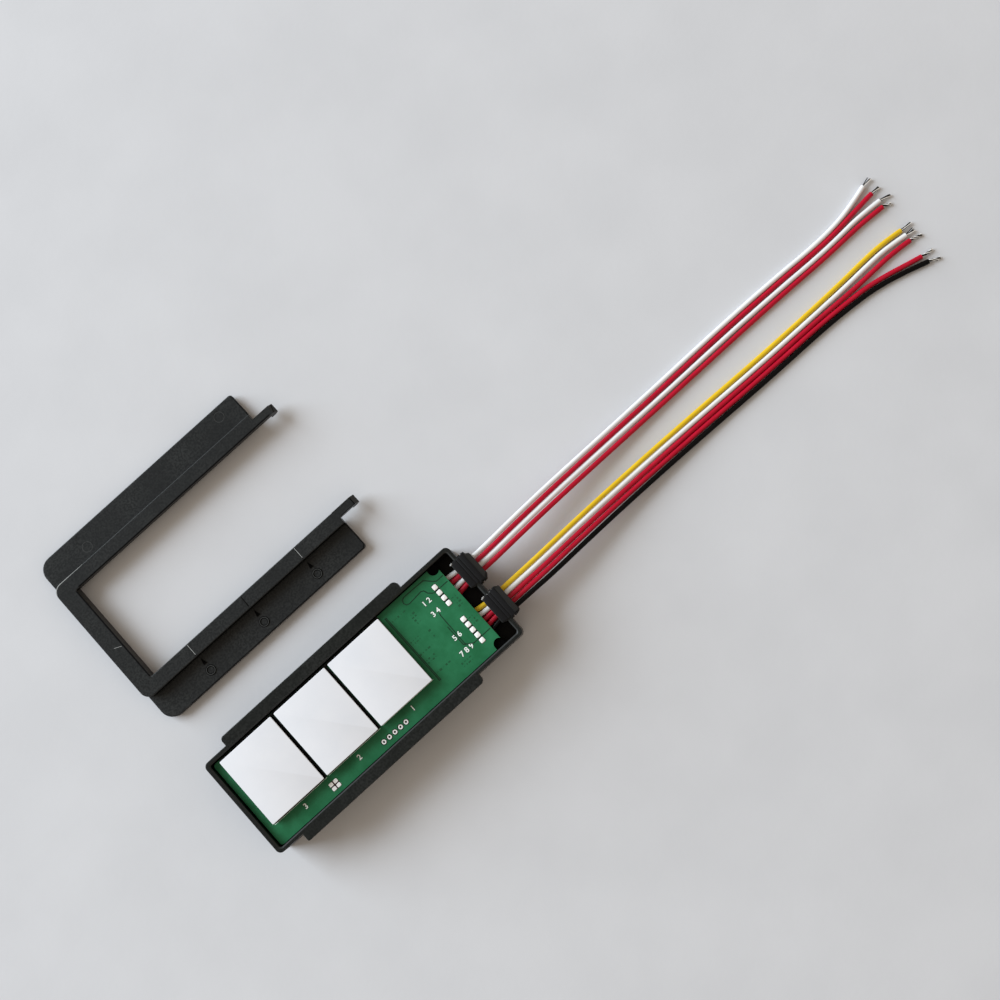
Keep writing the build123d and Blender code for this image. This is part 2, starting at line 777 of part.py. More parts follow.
# Parts on the underside of the board
nodes["touch_controller_chip"] = legged_chip(
    key_places[1], 0, chip_length, chip_width, chip_height, chip_leg_count, chip_leg_pitch
)
transistor_y = board_half - transistor_side_setback
for index, y in enumerate((transistor_y, 0, -transistor_y), start=1):
    nodes[f"output_transistor_{index}"] = power_transistor(board_x1 - transistor_setback, y)
power_x = board_x1 - power_setback
nodes["voltage_regulator"] = legged_chip(
    power_x, power_spacing / 2, regulator_length, regulator_width, regulator_height, 3, regulator_leg_pitch
)
nodes["reverse_polarity_diode"] = reverse_polarity_diode(power_x, -power_spacing / 2)
capacitor_x = board_x1 - capacitor_setback
nodes["filter_capacitors"] = Compound(
    children=[filter_capacitor(capacitor_x, side * capacitor_spacing / 2) for side in (-1, 1)]
)
nodes["chip_resistors"] = chip_resistors(key_places[1], resistor_offset)

for name, shape in nodes.items():
    export_step(shape, f"parts/{name}.step")
print(f"{len(nodes)} nodes")
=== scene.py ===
"""Looks of a mirror touch switch: a tray with three keys, nine loose wires and a slide-in bracket.

Every length is in metres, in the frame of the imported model. X runs along the tray towards the
wires, Y across it towards the bracket, and Z up from the table.
"""

import logging
import math
from collections.abc import Sequence
from dataclasses import dataclass
from enum import Enum

import bmesh
import bpy
import numpy as np
from mathutils import Matrix, Vector


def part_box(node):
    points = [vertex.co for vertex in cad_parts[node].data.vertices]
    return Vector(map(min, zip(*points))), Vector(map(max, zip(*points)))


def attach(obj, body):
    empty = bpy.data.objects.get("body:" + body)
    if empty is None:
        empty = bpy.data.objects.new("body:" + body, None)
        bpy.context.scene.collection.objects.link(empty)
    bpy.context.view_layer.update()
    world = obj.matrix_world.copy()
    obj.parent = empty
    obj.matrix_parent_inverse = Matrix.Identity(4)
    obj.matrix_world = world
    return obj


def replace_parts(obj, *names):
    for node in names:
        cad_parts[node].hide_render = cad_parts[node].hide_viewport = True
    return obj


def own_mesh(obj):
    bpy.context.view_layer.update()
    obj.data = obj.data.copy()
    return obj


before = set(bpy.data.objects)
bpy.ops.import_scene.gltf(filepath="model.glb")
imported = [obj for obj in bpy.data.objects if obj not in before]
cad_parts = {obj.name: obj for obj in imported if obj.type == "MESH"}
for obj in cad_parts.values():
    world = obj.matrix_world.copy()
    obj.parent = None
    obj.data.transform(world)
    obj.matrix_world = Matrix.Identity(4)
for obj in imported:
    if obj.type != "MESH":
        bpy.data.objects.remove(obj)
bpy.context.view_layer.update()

log = logging.getLogger("mirror_touch_switch")

# Half the thickness of what is printed or drawn on a surface.
SKIN = 0.00002
# The middle of each lead, and of its grommet and solder, across the tray.
LEAD_MIDDLES = {"a": 0.0071, "b": -0.00615}

Colour = tuple[float, float, float]
Point = tuple[float, float, float]
Plan = tuple[float, float]
Socket = bpy.types.NodeSocket


def linear(colour: Colour) -> tuple[float, float, float, float]:
    """The linear colour that a shader takes for a screen colour.

    Args:
        colour: Red, green and blue from 0 to 255, as they look on the screen.

    Returns:
        Red, green, blue and a full alpha, from 0 to 1.
    """
    share = np.array(colour, float) / 255
    value = np.where(share <= 0.04045, share / 12.92, ((share + 0.055) / 1.055) ** 2.4)
    return (float(value[0]), float(value[1]), float(value[2]), 1.0)


class ShaderGraph:
    """A material's node tree round one Principled surface, built a step at a time."""

    def __init__(self, name: str) -> None:
        """Starts a material.

        Args:
            name: The material's name.
        """
        self.material = bpy.data.materials.new(name)
        self.material.use_nodes = True
        self.nodes = self.material.node_tree.nodes
        self.links = self.material.node_tree.links
        self.surface = self.nodes["Principled BSDF"]
        self.place = self.nodes.new("ShaderNodeTexCoord").outputs["Object"]

    def set(self, **values: float) -> None:
        """Sets constant sockets of the surface, named with an underscore for each space."""
        for name, value in values.items():
            self.surface.inputs[name.replace("_", " ")].default_value = value

    def feed(self, **sources: Socket) -> None:
        """Links sources to sockets of the surface, named with an underscore for each space."""
        for name, source in sources.items():
            self.links.new(source, self.surface.inputs[name.replace("_", " ")])

    def node(self, kind: str, sources: dict[str | int, Socket], **values: float | tuple) -> bpy.types.Node:
        """Adds a node to the tree.

        Args:
            kind: The node's type.
            sources: What is linked to its inputs, by their names or numbers.
            values: Its constant inputs, named with an underscore for each space.

        Returns:
            The node.
        """
        node = self.nodes.new(kind)
        for name, value in values.items():
            node.inputs[name.replace("_", " ")].default_value = value
        for key, source in sources.items():
            self.links.new(source, node.inputs[key])
        return node

    def noise(self, size: float, detail: float = 2.0, rough: float = 0.5,
              stretch: Point | None = None) -> Socket:
        """Cloud noise of a real size, from 0 to 1.

        Args:
            size: The width of one cloud, in metres.
            detail: How many finer layers are laid over it.
            rough: How strong the finer layers are.
            stretch: How many times longer a cloud is along X, Y and Z.

        Returns:
            The noise.
        """
        place = self.place
        if stretch:
            scale = tuple(1 / value for value in stretch)
            place = self.node("ShaderNodeMapping", {"Vector": place}, Scale=scale).outputs["Vector"]
        layers = {"Scale": 1 / size, "Detail": detail, "Roughness": rough}
        return self.node("ShaderNodeTexNoise", {"Vector": place}, **layers).outputs["Fac"]

    def cell_walls(self, size: float) -> Socket:
        """The distance to the nearest wall of a pattern of scattered cells."""
        node = self.node("ShaderNodeTexVoronoi", {"Vector": self.place}, Scale=1 / size)
        node.feature = "DISTANCE_TO_EDGE"
        return node.outputs["Distance"]

    def spread(self, source: Socket, low: float, high: float, to_low: float = 0.0,
               to_high: float = 1.0) -> Socket:
        """A value stretched from one range to another and held inside it.

        Args:
            source: The value.
            low: What becomes to_low.
            high: What becomes to_high.
            to_low: The new range's start.
            to_high: The new range's end.

        Returns:
            The stretched value.
        """
        bounds = {"From_Min": low, "From_Max": high, "To_Min": to_low, "To_Max": to_high}
        return self.node("ShaderNodeMapRange", {"Value": source}, **bounds).outputs["Result"]

    def blend(self, share: Socket, first: Colour | Socket, second: Colour) -> Socket:
        """A colour between two.

        Args:
            share: How much of the second colour shows, from 0 to 1.
            first: The first colour, on the screen's scale, or a socket that gives it.
            second: The second colour, on the screen's scale.

        Returns:
            The mixed colour.
        """
        node = self.node("ShaderNodeMix", {0: share})
        node.data_type = "RGBA"
        if isinstance(first, Socket):
            self.links.new(first, node.inputs[6])
        else:
            node.inputs[6].default_value = linear(first)
        node.inputs[7].default_value = linear(second)
        return node.outputs[2]

    def emboss(self, source: Socket, height: float, under: Socket | None = None) -> Socket:
        """Small relief that turns the surface's normal.

        Args:
            source: The relief from 0 to 1.
            height: Its real height, in metres.
            under: A normal that already carries other relief.

        Returns:
            The turned normal.
        """
        sources = {"Height": source} if under is None else {"Height": source, "Normal": under}
        return self.node("ShaderNodeBump", sources, Distance=height).outputs["Normal"]

    def slope(self) -> Socket:
        """How far the surface faces up: 1 on a level top, 0 on an upright side."""
        return self.upright(self.nodes.new("ShaderNodeNewGeometry").outputs["Normal"])

    def height(self) -> Socket:
        """The height above the piece's own origin, in metres."""
        return self.upright(self.place)

    def both(self, first: Socket, second: Socket) -> Socket:
        """The product of two values, which is high only where both are."""
        node = self.node("ShaderNodeMath", {0: first, 1: second})
        node.operation = "MULTIPLY"
        return node.outputs[0]

    def upright(self, source: Socket) -> Socket:
        """The Z part of a vector."""
        return self.node("ShaderNodeSeparateXYZ", {"Vector": source}).outputs["Z"]


@dataclass(frozen=True)
class Recipe:
    """How a finish is painted: its two main tones, and a way to draw it that each kind has for itself."""

    shade: Colour
    patch_shade: Colour

    def paint(self, name: str) -> bpy.types.Material:
        """Makes the material under a name."""
        graph = ShaderGraph(name)
        self.draw(graph)
        return graph.material

    def draw(self, graph: ShaderGraph) -> None:
        """Draws the finish; the kinds of finish do it."""
        raise NotImplementedError

    def mixed(self, graph: ShaderGraph, source: Socket, low: float, high: float) -> Socket:
        """The main tones: the first where the source is at low, the second where it is at high."""
        return graph.blend(graph.spread(source, low, high), self.shade, self.patch_shade)


@dataclass(frozen=True)
class MouldedPlastic(Recipe):
    """Plastic or rubber from a spark-textured mould: a fine even grain, soft patches, a little dust.

    Its bevelled edges carry a painted highlight, its upright sides are darker than its tops as
    painted shade, and its level faces under a height are the darkest, as painted shade too.
    """

    dust_shade: Colour
    roughness: float
    specular: float
    # Painted highlight on bevelled edges.
    edge_shade: Colour = (52, 53, 53)
    # Painted shade on upright sides.
    side_painted_shading: Colour = (10, 10, 11)
    # Painted shade on level faces under a height.
    painted_low_shade: Colour = (5, 5, 5)
    painted_shade_top: float = -1.0
    painted_shade_fade: float = 0.0002
    dust_size: float = 0.0007
    grain_size: float = 0.00032
    grain_height: float = 0.000022
    speck_size: float = 0.00055
    patch_size: float = 0.011
    swing: float = 0.06

    def draw(self, graph: ShaderGraph) -> None:
        """Draws specks, patches and dust, a painted highlight on edges and painted shade on sides and low
        faces.
        """
        specks = graph.spread(graph.noise(self.speck_size, 1), 0.36, 0.64)
        patches = graph.spread(graph.noise(self.patch_size, 3), 0.35, 0.65, 0.4, 1.0)
        tone = graph.blend(graph.both(specks, patches), self.shade, self.patch_shade)
        dust = graph.spread(graph.noise(self.dust_size, 1), 0.74, 0.82, 0.0, 0.35)
        tone = graph.blend(dust, tone, self.dust_shade)
        slope = graph.slope()
        # Painted highlight: the 45-degree bevels are drawn lighter, standing in for the light they catch.
        edges = graph.both(graph.spread(slope, 0.97, 0.85), graph.spread(slope, 0.3, 0.55))
        tone = graph.blend(edges, tone, self.edge_shade)
        # Painted shade: upright sides drawn darker than tops.
        tone = graph.blend(graph.spread(slope, 0.3, 0.1), tone, self.side_painted_shading)
        # Painted shade: level faces under the height, such as the tray's cavity floor and post tops, drawn
        # darkest.
        low = graph.spread(graph.height(), self.painted_shade_top + self.painted_shade_fade, self.painted_shade_top)
        tone = graph.blend(graph.both(low, graph.spread(slope, 0.8, 0.9)), tone, self.painted_low_shade)
        grain = graph.noise(self.grain_size, 3, 0.6)
        rough = graph.spread(grain, 0.3, 0.7, self.roughness - self.swing, self.roughness + self.swing)
        graph.feed(Base_Color=tone, Normal=graph.emboss(grain, self.grain_height), Roughness=rough)
        graph.set(Specular_IOR_Level=self.specular)


@dataclass(frozen=True)
class MaskedLaminate(Recipe):
    """Green lacquer over woven glass: a faint weave, cloudy tone, and bare laminate at the cut edges."""

    edge_shade: Colour
    roughness: float
    specular: float = 0.25
    cloud_size: float = 0.006
    weave_size: float = 0.00055
    weave_height: float = 0.000006
    thread: float = 5

    def draw(self, graph: ShaderGraph) -> None:
        """Draws the clouds, the cut edges, and the weave's threads along X and along Y."""
        tone = self.mixed(graph, graph.noise(self.cloud_size, 4, 0.6), 0.35, 0.68)
        tone = graph.blend(graph.spread(graph.slope(), 0.7, 0.3), tone, self.edge_shade)
        warp = graph.noise(self.weave_size, 1, 0.5, (self.thread, 1, 1))
        weft = graph.noise(self.weave_size, 1, 0.5, (1, self.thread, 1))
        relief = graph.emboss(weft, self.weave_height, graph.emboss(warp, self.weave_height))
        graph.feed(Base_Color=tone, Normal=relief)
        graph.set(Roughness=self.roughness, Specular_IOR_Level=self.specular)


@dataclass(frozen=True)
class CoatedFilm(Recipe):
    """The satin white film on a key: almost even, with a faint ripple and a soft sheen."""

    # Painted highlight on the film's sides and rounded edges.
    side_painted_shading: Colour
    roughness: float
    specular: float = 0.3
    cloud_size: float = 0.009
    ripple_size: float = 0.0011
    ripple_height: float = 0.0000035
    swing: float = 0.04

    def draw(self, graph: ShaderGraph) -> None:
        """Draws the clouds, a painted highlight on the sides, and the ripple."""
        tone = self.mixed(graph, graph.noise(self.cloud_size, 2), 0.3, 0.7)
        # Painted highlight: the sides drawn paler than the top.
        tone = graph.blend(graph.spread(graph.slope(), 0.5, 0.1), tone, self.side_painted_shading)
        ripple = graph.noise(self.ripple_size, 2, 0.4)
        rough = graph.spread(ripple, 0.3, 0.7, self.roughness - self.swing, self.roughness + self.swing)
        graph.feed(Base_Color=tone, Normal=graph.emboss(ripple, self.ripple_height), Roughness=rough)
        graph.set(Specular_IOR_Level=self.specular)


@dataclass(frozen=True)
class CellFoam(Recipe):
    """Open foam: small dark cells between paler walls, on a thin film of its glue coloured near-black as
    painted shade.
    """

    # Painted shade: the glue film's near-black colour.
    glue_painted_shade: Colour
    glue_top: float = 0.01063
    glue_fade: float = 0.00001
    cell_size: float = 0.00014
    cell_depth: float = 0.000015

    def draw(self, graph: ShaderGraph) -> None:
        """Draws the cells, and the glue film under its top in painted shade."""
        walls = graph.cell_walls(self.cell_size)
        tone = self.mixed(graph, walls, 0.05, 0.3)
        glue = graph.spread(graph.height(), self.glue_top + self.glue_fade, self.glue_top)
        relief = graph.emboss(graph.spread(walls, 0.0, 0.3, 1.0, 0.0), self.cell_depth)
        graph.feed(Base_Color=graph.blend(glue, tone, self.glue_painted_shade), Normal=relief)
        graph.set(Roughness=0.95, Specular_IOR_Level=0.1)


@dataclass(frozen=True)
class TinnedMetal(Recipe):
    """Tin or solder: bright metal with a frosted, uneven skin and duller or coppery spots."""

    roughness: float
    metallic: float
    spot_size: float = 0.0006
    spot_start: float = 0.55
    spot_fade: float = 0.15
    frost_size: float = 0.00025
    frost_height: float = 0.000012

    def draw(self, graph: ShaderGraph) -> None:
        """Draws the spots and the frost."""
        skin = graph.noise(self.spot_size, 3, 0.6)
        tone = self.mixed(graph, skin, self.spot_start, self.spot_start + self.spot_fade)
        frost = graph.emboss(graph.noise(self.frost_size, 2), self.frost_height)
        rough = graph.spread(skin, 0.3, 0.7, self.roughness - 0.06, self.roughness + 0.1)
        graph.feed(Base_Color=tone, Normal=frost, Roughness=rough)
        graph.set(Metallic=self.metallic)


@dataclass(frozen=True)
class WireInsulation(Recipe):
    """Extruded soft insulation: a glossy skin, drawn out along the wire, with faint handling marks."""

    roughness: float = 0.34
    specular: float = 0.25
    line_size: float = 0.0010
    line_height: float = 0.000012
    line_stretch: Point = (7, 1, 1)
    mark_size: float = 0.004

    def draw(self, graph: ShaderGraph) -> None:
        """Draws the lines along the wire and the marks."""
        lines = graph.noise(self.line_size, 3, 0.5, self.line_stretch)
        tone = self.mixed(graph, lines, 0.3, 0.7)
        marks = graph.noise(self.mark_size, 2)
        rough = graph.spread(marks, 0.35, 0.65, self.roughness - 0.05, self.roughness + 0.08)
        graph.feed(Base_Color=tone, Normal=graph.emboss(lines, self.line_height), Roughness=rough)
        graph.set(Specular_IOR_Level=self.specular)


@dataclass(frozen=True)
class PrintedInk(Recipe):
    """Screen-printed ink or a lacquered copper track, nearly even and a little rough; it also paints
    highlight and shade lines.
    """

    roughness: float = 0.6
    specular: float = 0.3
    grain_size: float = 0.0004
    grain_height: float = 0.000005

    def draw(self, graph: ShaderGraph) -> None:
        """Draws the fine grain."""
        grain = graph.noise(self.grain_size, 2)
        tone = self.mixed(graph, grain, 0.35, 0.65)
        graph.feed(Base_Color=tone, Normal=graph.emboss(grain, self.grain_height))
        graph.set(Roughness=self.roughness, Specular_IOR_Level=self.specular)


@dataclass(frozen=True)
class ClearGlue(Recipe):
    """A dab of cured clear glue: glossy and slightly cloudy."""

    haze_size: float = 0.0003

    def draw(self, graph: ShaderGraph) -> None:
        """Draws the haze."""
        graph.feed(Base_Color=self.mixed(graph, graph.noise(self.haze_size, 2), 0.3, 0.7))
        graph.set(Roughness=0.12, Specular_IOR_Level=0.8)


@dataclass(frozen=True)
class PaleFloor(Recipe):
    """The pale matt table: very faint clouds and a fine tooth."""

    cloud_size: float = 0.035
    tooth_size: float = 0.0016
    tooth_height: float = 0.00002

    def draw(self, graph: ShaderGraph) -> None:
        """Draws the clouds and the tooth."""
        tone = self.mixed(graph, graph.noise(self.cloud_size, 3, 0.55), 0.35, 0.65)
        tooth = graph.emboss(graph.noise(self.tooth_size, 4, 0.6), self.tooth_height)
        graph.feed(Base_Color=tone, Normal=tooth)
        graph.set(Roughness=0.85, Specular_IOR_Level=0.15)


class Finish(Enum):
    """The finishes of the switch.

    A value is the finish's slot in the record, with what sets the finish apart after a comma, or
    plain words where it has no slot.
    """

    PLASTIC = "black_plastic"
    RUBBER = "black_rubber"
    BOARD = "board_laminate"
    KEY_FILM = "white_pad"
    FOAM = "foam"
    SOLDER = "tinned_metal"
    WHITE_WIRE = "insulation_white"
    RED_WIRE = "insulation_red"
    YELLOW_WIRE = "insulation_yellow"
    BLACK_WIRE = "insulation_black"
    CHIP = "chip_body"
    CAN = "capacitor_can"
    TAPE = "adhesive_tape"
    TRAY = "black_plastic, tray"
    GLINT = "black_plastic, lit edge"
    # Painted shade: near-black lines, discs and linings where shade falls.
    HOLLOW = "black_plastic, hollow"
    # Painted highlight: pale lines where the bracket's edges catch the light.
    PAINTED_HIGHLIGHT = "black_plastic, scratched line"
    # One tinned metal in two copies: a lit one with painted highlight and one in painted shade.
    STRANDS = "tinned_metal, drawn"
    PAINTED_SHADE_METAL = "tinned_metal, drawn and dull"
    GLUE_EDGE = "foam, glue edge"
    TRACK = "board_laminate, track"
    FAINT_TRACK = "board_laminate, faint track"
    MOAT = "board_laminate, moat"
    FLUX = "board_laminate, flux"
    INK = "printed ink"
    GLUE = "clear glue"

    @property
    def slot(self) -> str:
        """The record's slot that this finish belongs to, or an empty word."""
        word = self.value.split(",")[0]
        return word if "_" in word or word == "foam" else ""


RECIPES = {
    Finish.PLASTIC: MouldedPlastic((31, 33, 34), (48, 50, 50), (78, 78, 76), 0.36, 0.17),
    # The tray's level faces under 9.7 mm are drawn in painted shade.
    Finish.TRAY: MouldedPlastic((23, 26, 25), (39, 41, 40), (72, 72, 70), 0.36, 0.15, painted_shade_top=0.0097),
    Finish.GLINT: PrintedInk((62, 64, 64), (72, 74, 73), 0.4),
    # Painted highlight for the bracket's lit lines.
    Finish.PAINTED_HIGHLIGHT: PrintedInk((150, 152, 151), (168, 170, 168), 0.4),
    # Painted shade for lines, discs and linings.
    Finish.HOLLOW: PrintedInk((6, 6, 6), (9, 9, 9), 0.8, 0.04),
    Finish.RUBBER: MouldedPlastic((21, 21, 23), (25, 25, 26), (58, 58, 58), 0.64, 0.14,
                                  grain_size=0.0005, grain_height=0.00003),
    Finish.BOARD: MaskedLaminate((26, 103, 64), (41, 121, 81), (110, 128, 84), 0.42),
    # The key film's paler sides are a painted highlight.
    Finish.KEY_FILM: CoatedFilm((231, 232, 236), (226, 228, 233), (246, 246, 246), 0.5),
    # The foam's glue film is drawn near-black as painted shade.
    Finish.FOAM: CellFoam((17, 19, 20), (11, 12, 13), (9, 14, 13)),
    # Part real, part painted light: the glue edge's pale line, made brighter than it is so it shows in shade.
    Finish.GLUE_EDGE: PrintedInk((238, 252, 243), (214, 236, 224), 0.5),
    Finish.SOLDER: TinnedMetal((255, 255, 253), (243, 245, 241), 0.5, 0.0),
    Finish.WHITE_WIRE: WireInsulation((238, 238, 238), (230, 230, 231)),
    Finish.RED_WIRE: WireInsulation((190, 13, 46), (176, 8, 40)),
    Finish.YELLOW_WIRE: WireInsulation((230, 192, 40), (220, 180, 30)),
    Finish.BLACK_WIRE: WireInsulation((9, 8, 8), (13, 12, 12), 0.3, 0.10),
    Finish.CHIP: MouldedPlastic((30, 31, 33), (36, 37, 38), (90, 90, 90), 0.6, 0.3, grain_size=0.0002),
    Finish.CAN: TinnedMetal((196, 198, 200), (150, 152, 156), 0.35, 0.9),
    Finish.TAPE: MouldedPlastic((40, 40, 42), (46, 46, 48), (80, 80, 80), 0.8, 0.2),
    # Lit and shaded copies of the strands' tinned metal: painted highlight, then painted shade.
    Finish.STRANDS: TinnedMetal((255, 253, 248), (196, 178, 156), 0.3, 0.25, 0.0008, 0.58),
    Finish.PAINTED_SHADE_METAL: TinnedMetal((52, 45, 39), (26, 20, 16), 0.4, 1.0),
    Finish.TRACK: PrintedInk((10, 54, 33), (14, 62, 38), 0.45),
    Finish.FAINT_TRACK: PrintedInk((19, 80, 48), (23, 87, 54), 0.45),
    Finish.MOAT: PrintedInk((10, 30, 20), (13, 36, 24), 0.5),
    Finish.FLUX: PrintedInk((52, 24, 22), (40, 20, 18), 0.5),
    Finish.INK: PrintedInk((248, 255, 250), (236, 249, 241)),
    Finish.GLUE: ClearGlue((176, 176, 174), (150, 150, 150)),
}


class FinishSet:
    """Makes each finish once and puts it on pieces."""

    def __init__(self) -> None:
        """Paints every recipe."""
        self.materials = {finish: recipe.paint(finish.name.lower()) for finish, recipe in RECIPES.items()}

    def dress(self, piece: bpy.types.Object, finish: Finish) -> None:
        """Puts a finish on a piece.

        Args:
            piece: A CAD node's object or a new piece.
            finish: The finish.
        """
        piece.data.materials.clear()
        piece.data.materials.append(self.materials[finish])
        if finish.slot:
            finish.slot

    def dress_runs(self, piece: bpy.types.Object, runs: Sequence[tuple[Finish, int]]) -> None:
        """Puts a finish on each run of a piece's faces.

        Args:
            piece: A new piece.
            runs: Each run's finish and how many faces it has, in the order that the faces were made.
        """
        kinds = list(dict.fromkeys(finish for finish, _ in runs))
        self.dress(piece, kinds[0])
        for finish in kinds[1:]:
            piece.data.materials.append(self.materials[finish])
        index = np.repeat([kinds.index(finish) for finish, _ in runs], [count for _, count in runs])
        piece.data.polygons.foreach_set("material_index", index.astype(np.int32))


def linked(name: str, data: bpy.types.ID) -> bpy.types.Object:
    """Puts a mesh, curve, camera or lamp into a new object of the scene."""
    thing = bpy.data.objects.new(name, data)
    bpy.context.scene.collection.objects.link(thing)
    return thing


@dataclass
class Surface:
    """Points and faces on their way into a mesh; several can be added together."""

    points: np.ndarray
    faces: list[list[int]]

    def __add__(self, other: "Surface") -> "Surface":
        """Both surfaces as one, with the second's faces counted on from the first's points."""
        start = len(self.points)
        moved = [[index + start for index in face] for face in other.faces]
        return Surface(np.vstack([self.points, other.points]), self.faces + moved)

    def piece(self, name: str, body: str, smooth: bool = True) -> bpy.types.Object:
        """Puts the surface into a new object that rides on a body, with closed seams and outward faces.

        Args:
            name: The piece's name.
            body: The body that it rides on.
            smooth: Whether its faces are shaded as one smooth surface between sharp edges.

        Returns:
            The new object.
        """
        mesh = bpy.data.meshes.new(name)
        mesh.from_pydata(self.points.tolist(), [], self.faces)
        work = bmesh.new()
        work.from_mesh(mesh)
        bmesh.ops.remove_doubles(work, verts=work.verts, dist=0.0000005)
        bmesh.ops.recalc_face_normals(work, faces=work.faces)
        work.to_mesh(mesh)
        work.free()
        mesh.shade_smooth() if smooth else mesh.shade_flat()
        if smooth:
            mesh.set_sharp_from_angle(angle=math.radians(38))
        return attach(linked(name, mesh), body)


def tiled(surfaces: Sequence[Surface]) -> Surface:
    """Several surfaces as one."""
    total = surfaces[0]
    for surface in surfaces[1:]:
        total = total + surface
    return total


def ringed(rings: np.ndarray) -> np.ndarray:
    """The quads that join rings of points, each ring to the next and its last point to its first."""
    rows, columns = rings.shape[:2]
    row = np.arange(rows - 1)[:, None] * columns
    column = np.arange(columns)[None, :]
    after = (column + 1) % columns
    corners = [row + column, row + after, row + columns + after, row + columns + column]
    return np.stack(corners, -1).reshape(-1, 4)


def capped(rings: np.ndarray) -> Surface:
    """A closed solid from rings of points, with a flat face over its first and its last ring."""
    count = rings.shape[1]
    points = rings.reshape(-1, 3)
    ends = [list(range(count))[::-1], list(range(len(points) - count, len(points)))]
    return Surface(points, ringed(rings).tolist() + ends)


def swept(path: np.ndarray, section: np.ndarray, widths: np.ndarray | float = 1.0) -> Surface:
    """A closed bar: a section carried along a path, with flat ends.

    At each station the section's first number is laid across the path, level with the table, and its
    second along the up direction square to both. At a corner the across part is lengthened by one
    over the cosine of half the turn, so a strip keeps its width.

    Args:
        path: The stations, one row of X, Y and Z each.
        section: The closed outline, one row of across and up each.
        widths: A factor for the section, for all stations or for each.

    Returns:
        The bar.
    """
    runs = np.diff(path, axis=0)
    runs /= np.linalg.norm(runs, axis=1)[:, None]
    before = np.vstack([runs[:1], runs])
    after = np.vstack([runs, runs[-1:]])
    along = before + after
    along /= np.linalg.norm(along, axis=1)[:, None]
    mitre = 1 / np.maximum((along * after).sum(1), 0.5)
    across = np.stack([-along[:, 1], along[:, 0], np.zeros(len(path))], 1)
    across /= np.linalg.norm(across, axis=1)[:, None]
    up = np.cross(along, across)
    factor = np.broadcast_to(widths, (len(path),))[:, None, None]
    sideways = (across * mitre[:, None])[:, None, :] * section[None, :, :1]
    offsets = sideways + up[:, None, :] * section[None, :, 1:]
    return capped(path[:, None, :] + offsets * factor)


def round_section(radius: float, sides: int) -> np.ndarray:
    """A circle of a radius, as sides points of across and up."""
    angle = np.arange(sides) * (2 * math.pi / sides)
    return radius * np.stack([np.cos(angle), np.sin(angle)], 1)


def strip_section(width: float, height: float) -> np.ndarray:
    """A low strip with bevelled shoulders, as points of across and up."""
    half = width / 2
    shoulder = half - height
    return np.array([(-half, -height), (half, -height), (shoulder, height), (-shoulder, height)])


def rounded_rectangle(low: Plan, high: Plan, radius: float, steps: int = 6) -> np.ndarray:
    """A rectangle in plan whose corners are arcs: each is its centre plus the radius times cosine and sine.

    Args:
        low: The lowest corner.
        high: The highest corner.
        radius: The corners' radius.
        steps: How many runs each arc has.

    Returns:
        The outline, turning left.
    """
    start = np.array([0, 1, 2, 3]) * math.pi / 2
    angle = start[:, None] + np.linspace(0, math.pi / 2, steps + 1)[None, :]
    centre_x = np.array([high[0], low[0], low[0], high[0]]) + radius * np.array([-1, 1, 1, -1])
    centre_y = np.array([high[1], high[1], low[1], low[1]]) + radius * np.array([-1, -1, 1, 1])
    x = centre_x[:, None] + radius * np.cos(angle)
    y = centre_y[:, None] + radius * np.sin(angle)
    return np.stack([x.ravel(), y.ravel()], 1)


def stacked(outline: np.ndarray, levels: Sequence[Plan]) -> Surface:
    """A closed solid from one outline in plan, drawn in at each level.

    Each ring is the outline moved inwards along the bisector of its two edges, by the inset over one
    plus the cosine of their turn.

    Args:
        outline: The outline, turning left.
        levels: The inset and the height of each ring, from the bottom up.

    Returns:
        The solid with flat ends.
    """
    edge = np.roll(outline, -1, axis=0) - outline
    edge /= np.linalg.norm(edge, axis=1)[:, None]
    inward = np.stack([-edge[:, 1], edge[:, 0]], 1)
    earlier = np.roll(inward, 1, axis=0)
    step = (inward + earlier) / (1 + (inward * earlier).sum(1))[:, None]
    inset, height = np.array(levels, float).T
    plan = outline[None] + inset[:, None, None] * step[None]
    rise = np.broadcast_to(height[:, None, None], (*plan.shape[:2], 1))
    return capped(np.concatenate([plan, rise], -1))


def softened(bottom: float, top: float, edge: float, steps: int = 4, both: bool = True) -> list[Plan]:
    """The levels of a solid whose top edge, and bottom edge if both, is a quarter circle."""
    angle = np.linspace(0, math.pi / 2, steps + 1)
    inset = edge * (1 - np.cos(angle))
    rise = edge * np.sin(angle)
    upper = list(zip(inset, top - edge + rise))
    lower = list(zip(inset[::-1], bottom + edge - rise[::-1])) if both else [(0.0, bottom)]
    return lower + upper


def turned(profile: Sequence[Plan], centre: Plan, sides: int = 24) -> Surface:
    """A closed ring: a closed profile of radius and height, turned round an upright axis.

    A point of the ring is the centre plus the radius times cosine and sine of the turn.

    Args:
        profile: The profile's radius and height, round its outline.
        centre: The axis in plan.
        sides: How many faces go round.

    Returns:
        The ring.
    """
    radius, height = np.array(profile, float).T
    angle = np.arange(sides) * (2 * math.pi / sides)
    x = centre[0] + radius[:, None] * np.cos(angle)
    y = centre[1] + radius[:, None] * np.sin(angle)
    z = np.broadcast_to(height[:, None], x.shape)
    points = np.stack([x, y, z], -1)
    rings = np.concatenate([points, points[:1]])
    return Surface(rings.reshape(-1, 3), ringed(rings).tolist())


def flat_ring(inner: float, outer: float, height: float) -> list[Plan]:
    """The profile of a flat ring between two radii, as thin as a print, at a height."""
    low = height - SKIN
    high = height + SKIN
    return [(inner, low), (outer, low), (outer, high), (inner, high)]


